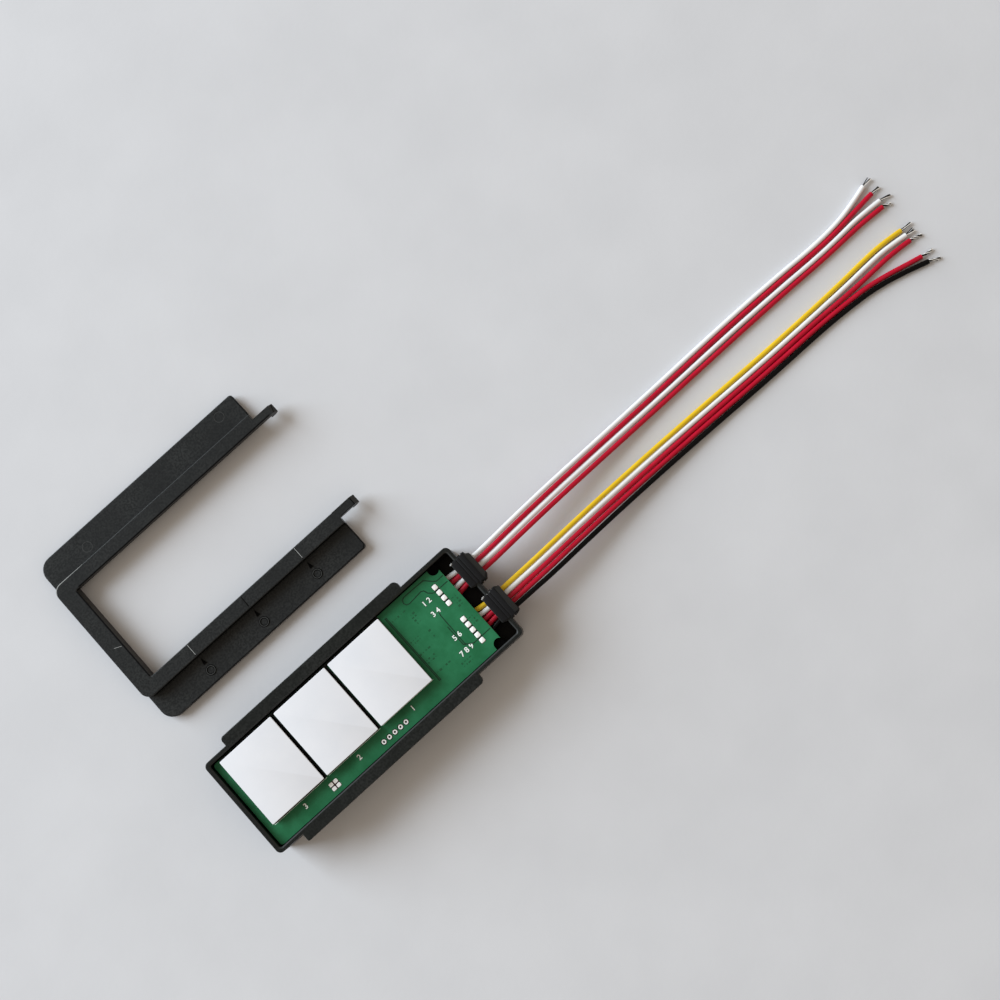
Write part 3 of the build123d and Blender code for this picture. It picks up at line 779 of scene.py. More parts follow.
def domed_square(x: float, y: float, size: Plan, base: float, rise: float, tip: float = 0.0) -> Surface:
    """A square blob of solder with round corners and a domed top.

    In plan a ring is a superellipse of the sixth power. Its height is the rise times one minus the
    eighth power of the ring's share of the size, plus a small bell over the middle for the wire's tip.

    Args:
        x: Its middle along X.
        y: Its middle along Y.
        size: Its length along X and its width along Y.
        base: The height that it stands on.
        rise: How high the dome is.
        tip: How much higher the wire's tip stands.

    Returns:
        The blob, closed underneath.
    """
    share = np.array([1.0, 1.0, 0.97, 0.88, 0.7, 0.5, 0.33, 0.2, 0.1])
    lift = np.where(np.arange(len(share)) == 0, 0, rise * (1 - share**8) + 0.25 * rise)
    lift = lift + tip * np.exp(-((share / 0.3) ** 2))
    angle = np.arange(32) * (2 * math.pi / 32)
    power = 6
    reach = (np.abs(np.cos(angle)) ** power + np.abs(np.sin(angle)) ** power) ** (-1 / power)
    plan_x = x + size[0] / 2 * share[:, None] * (reach * np.cos(angle))
    plan_y = y + size[1] / 2 * share[:, None] * (reach * np.sin(angle))
    rise_z = np.broadcast_to((base + lift)[:, None], plan_x.shape)
    return capped(np.stack([plan_x, plan_y, rise_z], -1))


@dataclass(frozen=True)
class Camera:
    """The photograph's viewpoint, nearly straight above the tray, found from the object's own edges."""

    place: Point = (0.055484, -0.026251, 0.430835)
    turn: float = 0.74111
    tilt: float = -0.09119
    roll: float = -0.049
    focal_pixels: float = 1472.63
    frame_pixels: float = 1000
    sensor: float = 36
    near: float = 0.01
    far: float = 20

    def build(self) -> None:
        """Makes the camera and gives it to the scene."""
        data = bpy.data.cameras.new("camera")
        data.sensor_width = self.sensor
        data.lens = self.focal_pixels / self.frame_pixels * self.sensor
        data.clip_start = self.near
        data.clip_end = self.far
        camera = linked("camera", data)
        roll = Matrix.Rotation(self.roll, 3, "Y")
        tilt = Matrix.Rotation(self.tilt, 3, "X")
        turn = Matrix.Rotation(self.turn, 3, "Z")
        camera.matrix_world = Matrix.Translation(self.place) @ (roll @ tilt @ turn).transposed().to_4x4()
        bpy.context.scene.camera = camera


@dataclass(frozen=True)
class SubAssembly:
    """A part of the switch that is built in one go, with the finishes for its pieces."""

    finishes: FinishSet

    def put(self, surfaces: Sequence[Surface], name: str, finish: Finish, body: str = "module",
            smooth: bool = True) -> bpy.types.Object:
        """Makes one dressed piece of several surfaces.

        Args:
            surfaces: The surfaces.
            name: The piece's name.
            finish: Its finish.
            body: The body that it rides on.
            smooth: Whether it is shaded as one smooth surface between sharp edges.

        Returns:
            The piece.
        """
        piece = tiled(surfaces).piece(name, body, smooth)
        self.finishes.dress(piece, finish)
        return piece

    def dress(self, node: str, finish: Finish) -> None:
        """Dresses a CAD node whose shape is already right."""
        self.finishes.dress(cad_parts[node], finish)


@dataclass(frozen=True)
class StrandEnd:
    """The bared strands at a wire's end: where their tip lies, and how they twist, fan out and bend."""

    tip: Point
    turns: float = 0.6
    fan: float = 0.00012
    kink: float = 0.0
    split: float = 0.0


# How far out of the grommet the first control points of every wire are, how high they are while the
# wire falls to the table, and how high the rest are where it lies there.
FIRST_OUT = (0.0, 0.0050, 0.0140, 0.0300, 0.0486, 0.0736, 0.0996, 0.1206)
FALL = (0.0080, 0.0080, 0.0073, 0.0051, 0.0028, 0.0011)
LYING = 0.0008


@dataclass(frozen=True)
class Wire:
    """One free wire: its CAD node, its colour, its length, its route on the table and its bared end.

    The route's later control points are given as how far out of the grommet they are, the last at
    the insulation's end, and every point but the exit as how far across from the wire's own exit it
    is. The strands' tip is out from the insulation's end and across from it, at its height.
    """

    node: str
    finish: Finish
    length: float
    out: tuple[float, ...]
    across: tuple[float, ...]
    end: StrandEnd

    def route(self, start: Point) -> np.ndarray:
        """The control points from the wire's exit to its insulation's end."""
        out = np.array([*FIRST_OUT, *self.out])
        across = np.array([0.0, *self.across])
        height = np.append(FALL, np.full(len(out) - len(FALL), LYING))
        return np.stack([out, across, height], 1) + np.array([start[0], start[1], 0])


LEAD_A = (
    Wire("wire_a1_white", Finish.WHITE_WIRE, 0.1596, (0.1346, 0.1436, 0.1516, 0.1589),
         (0, 0.00050, 0.00102, 0.00120, 0.00140, 0.00165, 0.00135, 0.00070, 0.00090, 0.00200, 0.00397),
         StrandEnd((0.0033, 0.00051, 0.0005), turns=0.15, split=0.00030)),
    Wire("wire_a2_red", Finish.RED_WIRE, 0.1597, (0.1346, 0.1436, 0.1516, 0.1592),
         (0, 0.00046, 0.00099, 0.00122, 0.00137, 0.00162, 0.00127, 0.00072, 0.00092, 0.00172, 0.00232),
         StrandEnd((0.0032, -0.00010, 0.0005), turns=0.2, fan=0.00010)),
    Wire("wire_a3_white", Finish.WHITE_WIRE, 0.1599, (0.1346, 0.1436, 0.1516, 0.1595),
         (0, 0.00042, 0.00096, 0.00119, 0.00129, 0.00149, 0.00119, 0.00069, 0.00089, 0.00129, 0.00070),
         StrandEnd((0.0038, -0.00095, 0.0005), turns=0.25, fan=0.00004)),
    Wire("wire_a4_red", Finish.RED_WIRE, 0.1592, (0.1346, 0.1436, 0.1516, 0.1588),
         (0, 0.00036, 0.00082, 0.00106, 0.00111, 0.00121, 0.00106, 0.00066, 0.00076, 0.00086, 0.00034),
         StrandEnd((0.0028, -0.00092, 0.0005), turns=1.0, fan=0.00010, kink=0.00035)),
)

LEAD_B = (
    Wire("wire_b1_yellow", Finish.YELLOW_WIRE, 0.1582, (0.1346, 0.1436, 0.1511, 0.1578),
         (0, 0.00005, 0.00047, 0.00066, 0.00041, -0.00029, -0.00044, -0.00024, 0.00011, 0.00016, -0.00071),
         StrandEnd((0.0041, -0.00024, 0.0005), turns=0.12, fan=0.00002)),
    Wire("wire_b2_white", Finish.WHITE_WIRE, 0.1583, (0.1346, 0.1436, 0.1511, 0.1579),
         (0, 0.00001, 0.00044, 0.00063, 0.00038, -0.00032, -0.00042, -0.00042, -0.00012, -0.00012, -0.00111),
         StrandEnd((0.0032, -0.00029, 0.0005), turns=0.1, fan=0.00004, split=0.00042)),
    Wire("wire_b3_red", Finish.RED_WIRE, 0.1581, (0.1346, 0.1436, 0.1511, 0.1577),
         (0, -0.00002, 0.00041, 0.00060, 0.00035, -0.00035, -0.00050, -0.00105, -0.00095, -0.00080, -0.00152),
         StrandEnd((0.0041, -0.00113, 0.0005), turns=1.6, fan=0.00005, kink=0.00012)),
    Wire("wire_b4_red", Finish.RED_WIRE, 0.1577, (0.1306, 0.1386, 0.1454, 0.1518, 0.1568),
         (0.00004, 0, 0.00044, 0.00063, 0.00038, -0.00034, -0.00048, -0.00098, -0.00158, -0.00288, -0.00455,
          -0.00577),
         StrandEnd((0.0042, -0.00057, 0.0005), turns=1.0, fan=0.00006, kink=0.00010)),
    Wire("wire_b5_black", Finish.BLACK_WIRE, 0.1584, (0.1306, 0.1386, 0.1454, 0.1518, 0.1573),
         (0, -0.00016, 0.00028, 0.00049, 0.00024, -0.00046, -0.00051, -0.00101, -0.00171, -0.00306, -0.00486,
          -0.00660),
         StrandEnd((0.0037, -0.00169, 0.0005), turns=1.5, fan=0.00005, kink=0.00022)),
)


@dataclass(frozen=True)
class WireLead(SubAssembly):
    """A row of wires that leave through one grommet, with their bared ends and their held tails."""

    wires: tuple[Wire, ...]
    middle: float
    exit_x: float = 0.0494
    exit_height: float = 0.0080
    pitch: float = 0.00157
    diameter: float = 0.0015
    strand_count: int = 6
    strand_diameter: float = 0.00025
    strand_root: float = 0.0004
    strand_straight: float = 0.0012
    kink_swing: float = 2.2
    tip_share: float = 0.45
    tip_stations: float = 1.5
    uneven: float = 0.06
    stations: int = 22

    def exit_of(self, index: int) -> Point:
        """The point where a wire leaves its grommet, counted from the +Y side."""
        across = self.middle + self.pitch * ((len(self.wires) - 1) / 2 - index)
        return (self.exit_x, across, self.exit_height)

    def build(self) -> None:
        """Lays each wire as a cord, adds its strands, and dresses its held end."""
        for index, wire in enumerate(self.wires):
            start = self.exit_of(index)
            route = wire.route(start)
            insulation = self.insulation(wire, route)
            self.finishes.dress(insulation, wire.finish)
            strands = self.strands(wire, route)
            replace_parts(insulation, wire.node)
            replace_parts(strands, f"{wire.node}_strands")
            self.dress(f"{wire.node}_tail", wire.finish)
            log.info("laid %s with %d strands", wire.node, self.strand_count)

    def insulation(self, wire: Wire, route: np.ndarray) -> bpy.types.Object:
        """The insulated wire as one smooth curve, drawn by its route's control points.

        A curve's box grows by its points' radius, so the wire's radius is given there and the bevel is
        one metre times that.

        Args:
            wire: The wire.
            route: Its control points, the exit first.

        Returns:
            The curve's object, riding on the module.
        """
        curve = bpy.data.curves.new(f"{wire.node}_insulation", "CURVE")
        curve.dimensions = "3D"
        curve.bevel_depth = 1.0
        curve.bevel_resolution = 6
        curve.use_fill_caps = True
        spline = curve.splines.new("NURBS")
        spline.points.add(len(route) - 1)
        spline.points.foreach_set("co", np.hstack([route, np.ones((len(route), 1))]).ravel())
        spline.points.foreach_set("radius", np.full(len(route), self.diameter / 2))
        spline.order_u = 3
        spline.use_endpoint_u = True
        spline.resolution_u = 24
        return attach(linked(curve.name, curve), "module")

    def strands(self, wire: Wire, route: np.ndarray) -> bpy.types.Object:
        """The bared strands: one straight in the middle and a ring of others wound round it.

        The bundle's middle line is a curve of the second order from inside the insulation, through a
        point straight on from it, to the tip. A strand lies off that line by a radius that grows with
        the square of its share of the way, at an angle that turns with that share, plus a kink that
        is a sine of it. Two groups part sideways towards the tip where the end is split. The strand
        on top, one underneath and the one in the middle get a painted highlight; the others, of the
        same tinned metal, get painted shade.

        Args:
            wire: The wire.
            route: Its control points.

        Returns:
            The strands' object, riding on the module.
        """
        end = wire.end
        heading = route[-1] - route[-2]
        heading /= np.linalg.norm(heading)
        start = route[-1] - heading * self.strand_root
        knee = route[-1] + heading * self.strand_straight
        tip = np.array([route[-1][0] + end.tip[0], route[-1][1] + end.tip[1], end.tip[2]])
        share = np.linspace(0, 1, self.stations)[:, None]
        middle = (1 - share) ** 2 * start + 2 * share * (1 - share) * knee + share**2 * tip
        sideways = np.array([-heading[1], heading[0], 0])
        middle = middle + sideways * (end.kink * np.sin(share * self.kink_swing * math.pi) * share)
        section = round_section(self.strand_diameter / 2, 8)
        narrowing = (1 - share[:, 0]) * self.stations / self.tip_stations + self.tip_share
        taper = np.clip(narrowing, self.tip_share, 1)
        last = self.strand_count - 1
        bundle = []
        runs = []
        for strand in range(self.strand_count):
            angle = (0.25 + strand / last + share * end.turns) * 2 * math.pi
            radius = 0 if strand == last else self.strand_diameter + end.fan * share**2
            side = 1 if strand in (1, 3) else -1
            across = np.cos(angle) * radius + side * end.split * share
            line = middle + sideways * across + np.array([0, 0, 1]) * (np.sin(angle) * radius)
            shorten = 1 - self.uneven * ((strand * 5) % self.strand_count) / self.strand_count
            count = max(4, int(self.stations * shorten))
            bundle.append(swept(line[:count], section, taper[-count:]))
            # Painted highlight on three strands, painted shade on the rest.
            finish = Finish.STRANDS if strand in (0, 2, last) else Finish.PAINTED_SHADE_METAL
            runs.append((finish, len(bundle[-1].faces)))
        piece = tiled(bundle).piece(f"{wire.node}_bare_strands", "module")
        self.finishes.dress_runs(piece, runs)
        return piece


@dataclass(frozen=True)
class TouchKey(SubAssembly):
    """A key: a stiff white face on a foam block, which the finger's touch presses down."""

    number: int
    glue_lap: float
    corner: float = 0.0003
    edge: float = 0.00012
    foam_bulge: float = 0.00008
    foam_rings: int = 7
    travel_kept: float = 0.652
    film_height: float = 0.00005
    fillet_out: float = 0.00006
    fillet_height: float = 0.00012
    edge_width: float = 0.00017
    edge_height: float = 0.00003

    def build(self) -> None:
        """Makes the face and the foam in their CAD solids' places."""
        node = f"touch_pad_face_{self.number}"
        low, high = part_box(node)
        block = stacked(rounded_rectangle(low.xy, high.xy, self.corner), softened(low.z, high.z, self.edge))
        face = self.put([block], f"key_face_{self.number}", Finish.KEY_FILM, f"touch_key_{self.number}")
        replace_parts(face, node)
        self.foam()
        log.info("built key %d", self.number)

    def foam(self) -> None:
        """Makes the foam block, whose sides swell out by a sine of the height, and gives it a mesh of its
        own.

        Its foot runs out into the thin film of glue that was pressed out from under it, coloured
        near-black as painted shade; the film's edge is drawn as a pale line on the side towards the
        numbers, brightened as painted light so that it shows in the key's shadow.
        """
        node = f"touch_pad_foam_{self.number}"
        low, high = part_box(node)
        share = np.linspace(0, 1, self.foam_rings)
        inset = self.foam_bulge * (1 - np.sin(share * math.pi))
        sides = list(zip(inset, low.z + share * (high.z - low.z)))
        film = [(-self.glue_lap, low.z), (-self.glue_lap, low.z + self.film_height),
                (-self.fillet_out, low.z + self.fillet_height)]
        outline = rounded_rectangle(low.xy, high.xy, self.corner)
        block = self.put([stacked(outline, film + sides[1:])], f"key_foam_{self.number}", Finish.FOAM)
        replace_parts(block, node)
        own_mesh(block)
        # The pale line runs along the shaded -Y side only and is brightened as painted light.
        reach = self.glue_lap + self.edge_width / 2
        line = np.array([(low.x - reach, low.y - reach, low.z), (high.x + reach, low.y - reach, low.z)])
        edge = swept(line, strip_section(self.edge_width, self.edge_height))
        self.put([edge], f"key_glue_edge_{self.number}", Finish.GLUE_EDGE, smooth=False)


@dataclass(frozen=True)
class Footprint:
    """A group of faint marks under the lacquer: short dashes in rows."""

    x: float
    y: float
    columns: int
    rows: int
    pitch: float = 0.0011


@dataclass(frozen=True)
class CircuitBoard(SubAssembly):
    """The board's printed face: tracks under the lacquer, solder, test holes and plain numbers."""

    top: float = 0.0105
    bottom: float = 0.0089
    track_width: float = 0.00034
    track_height: float = 0.00003
    solder_rise: float = 0.00010
    solder_tip: float = 0.00006
    pad_size: float = 0.00150
    pad_pitch: float = 0.0020
    pad_x: float = 0.03555
    jumper_size: Plan = (0.00135, 0.00115)
    ring_inner: float = 0.00032
    ring_outer: float = 0.00070
    moat: float = 0.00012
    number_height: float = 0.00155
    post_places: tuple[Plan, ...] = ((0.0385, 0.0142), (0.0385, -0.0142))
    post_radius: float = 0.0016
    post_top: float = 0.0093
    post_bore: float = 0.000001
    patch_corner: float = 0.00005
    moat_corner: float = 0.0002
    jumper_rise: float = 0.00004
    hole_count: int = 5
    hole_wall: float = 0.00001
    ring_height: float = 0.00005
    digit_share: float = 0.69
    stroke: float = 0.00005
    outline_stroke: float = 0.00014
    # Painted shade: dark strips on the board in the gaps between the keys and along its +Y edge.
    painted_gap_shades: tuple[tuple[Plan, Plan], ...] = (
        ((-0.02345, -0.0090), (-0.02292, 0.0143)), ((-0.00290, -0.0090), (-0.00237, 0.0143)),
        ((-0.0430, 0.0142), (0.0176, 0.01498)),
    )

    tracks: tuple[tuple[Plan, ...], ...] = (
        ((0.0395, 0.0111), (0.0371, 0.0111), (0.0364, 0.0116), (0.0343, 0.0138), (0.0272, 0.0140),
         (0.0262, 0.0137), (0.0258, 0.0127), (0.0262, 0.0118), (0.0271, 0.0115), (0.0317, 0.0119),
         (0.0325, 0.0115), (0.0329, 0.0103), (0.0338, 0.0094), (0.0348, 0.0088)),
        ((0.0366, 0.0090), (0.0394, 0.0090)),
        ((0.0316, 0.0040), (0.0314, 0.0030), (0.0312, -0.0075), (0.0316, -0.0081), (0.0332, -0.00915),
         (0.0394, -0.00915)),
        ((0.0307, -0.0007), (0.0307, -0.0074), (0.0312, -0.0081)),
        ((0.0189, 0.0131), (0.0189, -0.0106)),
        ((0.0193, 0.0131), (0.0193, -0.0106)),
    )
    footprints: tuple[Footprint, ...] = (
        Footprint(0.0222, 0.0109, 5, 1), Footprint(0.0256, 0.0073, 2, 4, 0.0010),
        Footprint(0.0213, 0.0025, 4, 2, 0.0009), Footprint(0.0218, -0.0015, 5, 1, 0.0011),
        Footprint(0.0213, -0.0043, 4, 2, 0.0009), Footprint(0.0223, -0.0084, 5, 1, 0.0011),
        Footprint(0.0378, 0.0030, 2, 4, 0.0010), Footprint(0.0283, -0.0118, 4, 2, 0.0010),
        Footprint(0.0376, -0.0040, 2, 3, 0.0010), Footprint(0.0262, 0.0010, 1, 3, 0.0010),
    )
    numbers: tuple[tuple[str, float, float], ...] = (
        ("1 2", 0.0310, 0.0085), ("3 4", 0.0310, 0.0046), ("5 6", 0.0310, -0.0045),
        ("7 8 9", 0.0304, -0.0093),
        ("1", 0.0080, -0.0112), ("2", -0.0125, -0.0113), ("3", -0.0330, -0.0113),
    )

    def build(self) -> None:
        """Dresses the board and adds what is printed and soldered on it."""
        self.dress("circuit_board", Finish.BOARD)
        self.draw_tracks()
        self.draw_footprints()
        self.solder("a", 4)
        self.solder("b", 5)
        self.jumpers()
        self.test_holes()
        for index, (text, x, y) in enumerate(self.numbers, start=1):
            self.number(f"board_number_{index}", text, (x, y), self.stroke, Finish.INK)
            self.number(f"board_number_{index}_outline", text, (x, y), self.outline_stroke, Finish.MOAT)
        self.painted_post_shades()
        # Painted shade strips, in the tape's finish, where the keys' gaps lie in shadow.
        strips = [self.patch(low, high, self.patch_corner) for low, high in self.painted_gap_shades]
        self.put(strips, "key_gap_painted_shades", Finish.TAPE, smooth=False)
        log.info("printed %d tracks and %d numbers", len(self.tracks), len(self.numbers))

    def painted_post_shades(self) -> None:
        """Paints shade on the ends of the tray's two posts, which stand in the board's notches, as black
        discs.
        """
        profile = flat_ring(self.post_bore, self.post_radius, self.post_top)
        discs = [turned(profile, place) for place in self.post_places]
        self.put(discs, "painted_post_shades", Finish.HOLLOW, smooth=False)

    def draw_tracks(self) -> None:
        """Draws the dark copper tracks as low strips on the board."""
        section = strip_section(self.track_width, self.track_height)
        strips = [swept(np.array([(x, y, self.top) for x, y in track]), section) for track in self.tracks]
        self.put(strips, "board_tracks", Finish.TRACK, smooth=False)

    def draw_footprints(self) -> None:
        """Draws each footprint's dashes, whose half length and width swing with sines of their number."""
        dashes = []
        for footprint in self.footprints:
            column, row = np.meshgrid(np.arange(footprint.columns), np.arange(footprint.rows))
            number = np.arange(column.size)
            x = footprint.x + footprint.pitch * (column.ravel() - (footprint.columns - 1) / 2)
            y = footprint.y + footprint.pitch * (row.ravel() - (footprint.rows - 1) / 2)
            half_x = footprint.pitch * (0.24 + 0.16 * np.sin(number * 2.3 + footprint.x * 9000))
            half_y = footprint.pitch * (0.17 + 0.11 * np.sin(number * 3.7 + footprint.y * 7000))
            for px, py, hx, hy in zip(x, y, half_x, half_y):
                dashes.append(self.patch((px - hx, py - hy), (px + hx, py + hy), self.patch_corner))
        self.put(dashes, "board_footprints", Finish.FAINT_TRACK, smooth=False)

    def patch(self, low: Plan, high: Plan, corner: float) -> Surface:
        """A very thin rounded rectangle on the board, between two corners in plan."""
        levels = [(0.0, self.top - SKIN), (0.0, self.top + SKIN)]
        return stacked(rounded_rectangle(low, high, corner, 3), levels)

    def solder(self, lead: str, count: int) -> None:
        """Makes one lead's row of solder joints, with a dark strip round and between them.

        Args:
            lead: The lead's letter.
            count: How many wires it has.
        """
        middle = LEAD_MIDDLES[lead]
        places = middle + self.pad_pitch * ((count - 1) / 2 - np.arange(count))
        size = (self.pad_size, self.pad_size)
        rises = (self.solder_rise, self.solder_tip)
        blobs = [domed_square(self.pad_x, y, size, self.top, *rises) for y in places]
        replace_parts(self.put(blobs, f"lead_{lead}_solder", Finish.SOLDER), f"solder_joints_{lead}")
        half_x = self.pad_size / 2 + self.moat / 2
        half_y = self.pad_pitch * (count - 1) / 2 + self.pad_size / 2 + self.moat
        low = (self.pad_x - half_x, middle - half_y)
        strip = self.patch(low, (self.pad_x + half_x, middle + half_y), self.moat_corner)
        self.put([strip], f"lead_{lead}_moat", Finish.MOAT, smooth=False)

    def jumpers(self) -> None:
        """Makes the four solder squares beside the gap between the last two keys, and their flux."""
        low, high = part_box("jumper_pads")
        middle = (low + high) / 2
        length, width = self.jumper_size
        step_x = (high.x - low.x - length) / 2
        step_y = (high.y - low.y - width) / 2
        corners = [(sx * step_x, sy * step_y) for sx in (-1, 1) for sy in (-1, 1)]
        blobs = [domed_square(middle.x + x, middle.y + y, self.jumper_size, self.top, self.jumper_rise)
                 for x, y in corners]
        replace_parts(self.put(blobs, "jumper_solder", Finish.SOLDER), "jumper_pads")
        rim = self.moat / 2
        flux = self.patch((low.x - rim, low.y - rim), (high.x + rim, high.y + rim), self.moat_corner)
        self.put([flux], "jumper_flux", Finish.FLUX, smooth=False)

    def test_holes(self) -> None:
        """Makes each test hole's tinned ring and barrel, a black lining of painted shade inside the barrel,
        and the ring's outline.
        """
        low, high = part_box("test_hole_rings")
        pitch = (high.x - low.x - 2 * self.ring_outer) / (self.hole_count - 1)
        places = [(low.x + self.ring_outer + pitch * index, (low.y + high.y) / 2)
                  for index in range(self.hole_count)]
        wall = self.hole_wall
        ring = self.ring_height
        bore = self.ring_inner - wall
        barrel = [
            (bore, self.bottom), (self.ring_inner + wall, self.bottom), (self.ring_inner + wall, self.top),
            (self.ring_outer, self.top), (self.ring_outer, self.top + ring * 0.6),
            (self.ring_outer - ring, self.top + ring), (self.ring_inner + ring, self.top + ring * 1.2),
            (bore, self.top + ring * 0.4),
        ]
        rings = [turned(barrel, place) for place in places]
        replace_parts(self.put(rings, "test_hole_barrels", Finish.SOLDER), "test_hole_rings")
        lip = self.top - ring
        # Painted shade: a black lining inside each barrel.
        lining = [(bore - 2 * wall, self.bottom), (bore, self.bottom), (bore, lip), (bore - 2 * wall, lip)]
        bores = [turned(lining, place) for place in places]
        self.put(bores, "test_hole_painted_shades", Finish.HOLLOW, smooth=False)
        outline = flat_ring(self.ring_outer - ring, self.ring_outer + 2 * self.moat, self.top)
        moats = [turned(outline, place) for place in places]
        self.put(moats, "test_hole_moats", Finish.MOAT, smooth=False)

    def number(self, name: str, text: str, place: Plan, bold: float, finish: Finish) -> None:
        """Prints a plain number on the board, or the darker outline under it.

        Args:
            name: The piece's name.
            text: The digits.
            place: Their middle in plan.
            bold: How far each stroke grows at each side; the bolder print lies lower.
            finish: The number's finish.
        """
        curve = bpy.data.curves.new(name, "FONT")
        curve.body = text
        curve.size = self.number_height / self.digit_share
        curve.align_x = "CENTER"
        curve.align_y = "CENTER"
        curve.extrude = SKIN - bold / 10
        curve.offset = bold
        draft = linked(name, curve)
        bpy.context.view_layer.update()
        mesh = bpy.data.meshes.new_from_object(draft.evaluated_get(bpy.context.evaluated_depsgraph_get()))
        bpy.data.objects.remove(draft)
        mesh.transform(Matrix.Translation((*place, self.top + SKIN / 2)))
        mesh.name = name
        self.finishes.dress(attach(linked(name, mesh), "module"), finish)


@dataclass(frozen=True)
class Land:
    """A low flat-topped band across a grommet: where it starts and ends, and its half width at each."""

    start_x: float
    start_half: float
    end_x: float
    end_half: float


@dataclass(frozen=True)
class Grommet(SubAssembly):
    """A rubber grommet with soft edges and a sloped nose, its raised lands, and beads of clear glue."""

    lead: str
    beads: tuple[Point, ...]
    edge: float = 0.00022
    top: float = 0.0132
    sunk: float = 0.0001
    land_rise: float = 0.00018
    land_edge: float = 0.00009
    bead_bore: float = 0.00001
    chamfer_x: float = 0.0488
    chamfer_low: float = 0.0126
    chamfer_high: float = 0.0131
    nose_start: float = 0.04795
    nose_low: float = 0.01235
    lands: tuple[Land, ...] = (
        Land(0.04332, 0.00425, 0.04515, 0.00452), Land(0.04540, 0.00452, 0.04618, 0.00452),
        Land(0.04640, 0.00472, 0.04775, 0.00472),
    )

    def build(self) -> None:
        """Makes the grommet from a copy of its solid with every sharp edge rounded, then what is on it."""
        node = f"wire_grommet_{self.lead}"
        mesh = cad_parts[node].data.copy()
        work = bmesh.new()
        work.from_mesh(mesh)
        bmesh.ops.remove_doubles(work, verts=work.verts, dist=0.000001)
        bmesh.ops.dissolve_limit(work, angle_limit=math.radians(1), verts=work.verts, edges=work.edges)
        self.slope_nose(work)
        work.to_mesh(mesh)
        work.free()
        thing = linked(f"grommet_{self.lead}", mesh)
        bevel = thing.modifiers.new("soft edges", "BEVEL")
        bevel.width = self.edge
        bevel.segments = 3
        bevel.limit_method = "ANGLE"
        bevel.angle_limit = math.radians(25)
        mesh.shade_smooth()
        mesh.set_sharp_from_angle(angle=math.radians(60))
        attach(thing, "module")
        self.finishes.dress(thing, Finish.RUBBER)
        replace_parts(thing, node)
        self.raise_lands()
        self.glue()
        log.info("built grommet %s", self.lead)

    def slope_nose(self, work: bmesh.types.BMesh) -> None:
        """Draws the chamfer at the nose's upper edge out into a long slope."""
        for corner in work.verts:
            if corner.co.x > self.chamfer_x and corner.co.z > self.chamfer_high:
                corner.co.x = self.nose_start
            elif corner.co.x > self.chamfer_x and corner.co.z > self.chamfer_low:
                corner.co.z = self.nose_low

    def raise_lands(self) -> None:
        """Adds the lands, which leave narrow grooves between them."""
        middle = LEAD_MIDDLES[self.lead]
        levels = softened(self.top - self.sunk, self.top + self.land_rise, self.land_edge, 3, both=False)
        bands = []
        for land in self.lands:
            outline = np.array([
                (land.start_x, middle - land.start_half), (land.end_x, middle - land.end_half),
                (land.end_x, middle + land.end_half), (land.start_x, middle + land.start_half),
            ])
            bands.append(stacked(outline, levels))
        self.put(bands, f"grommet_{self.lead}_lands", Finish.RUBBER)

    def glue(self) -> None:
        """Makes the beads of glue between the grommet's inner corner and the wall.

        A bead's place and radius in plan are given; its profile is a quarter circle of that radius,
        turned round an upright axis.
        """
        angle = np.linspace(0, math.pi / 2, 6)
        foot = self.top - self.sunk
        beads = []
        for x, y, size in self.beads:
            radius = size * np.cos(angle) + self.bead_bore
            height = foot + size * np.sin(angle)
            beads.append(turned([(self.bead_bore, foot), *zip(radius, height)], (x, y), 16))
        self.put(beads, f"glue_beads_{self.lead}", Finish.GLUE)


@dataclass(frozen=True)
class Score:
    """A fine straight line on the bracket: its two ends, its width and its finish."""

    start: Point
    end: Point
    width: float
    finish: Finish


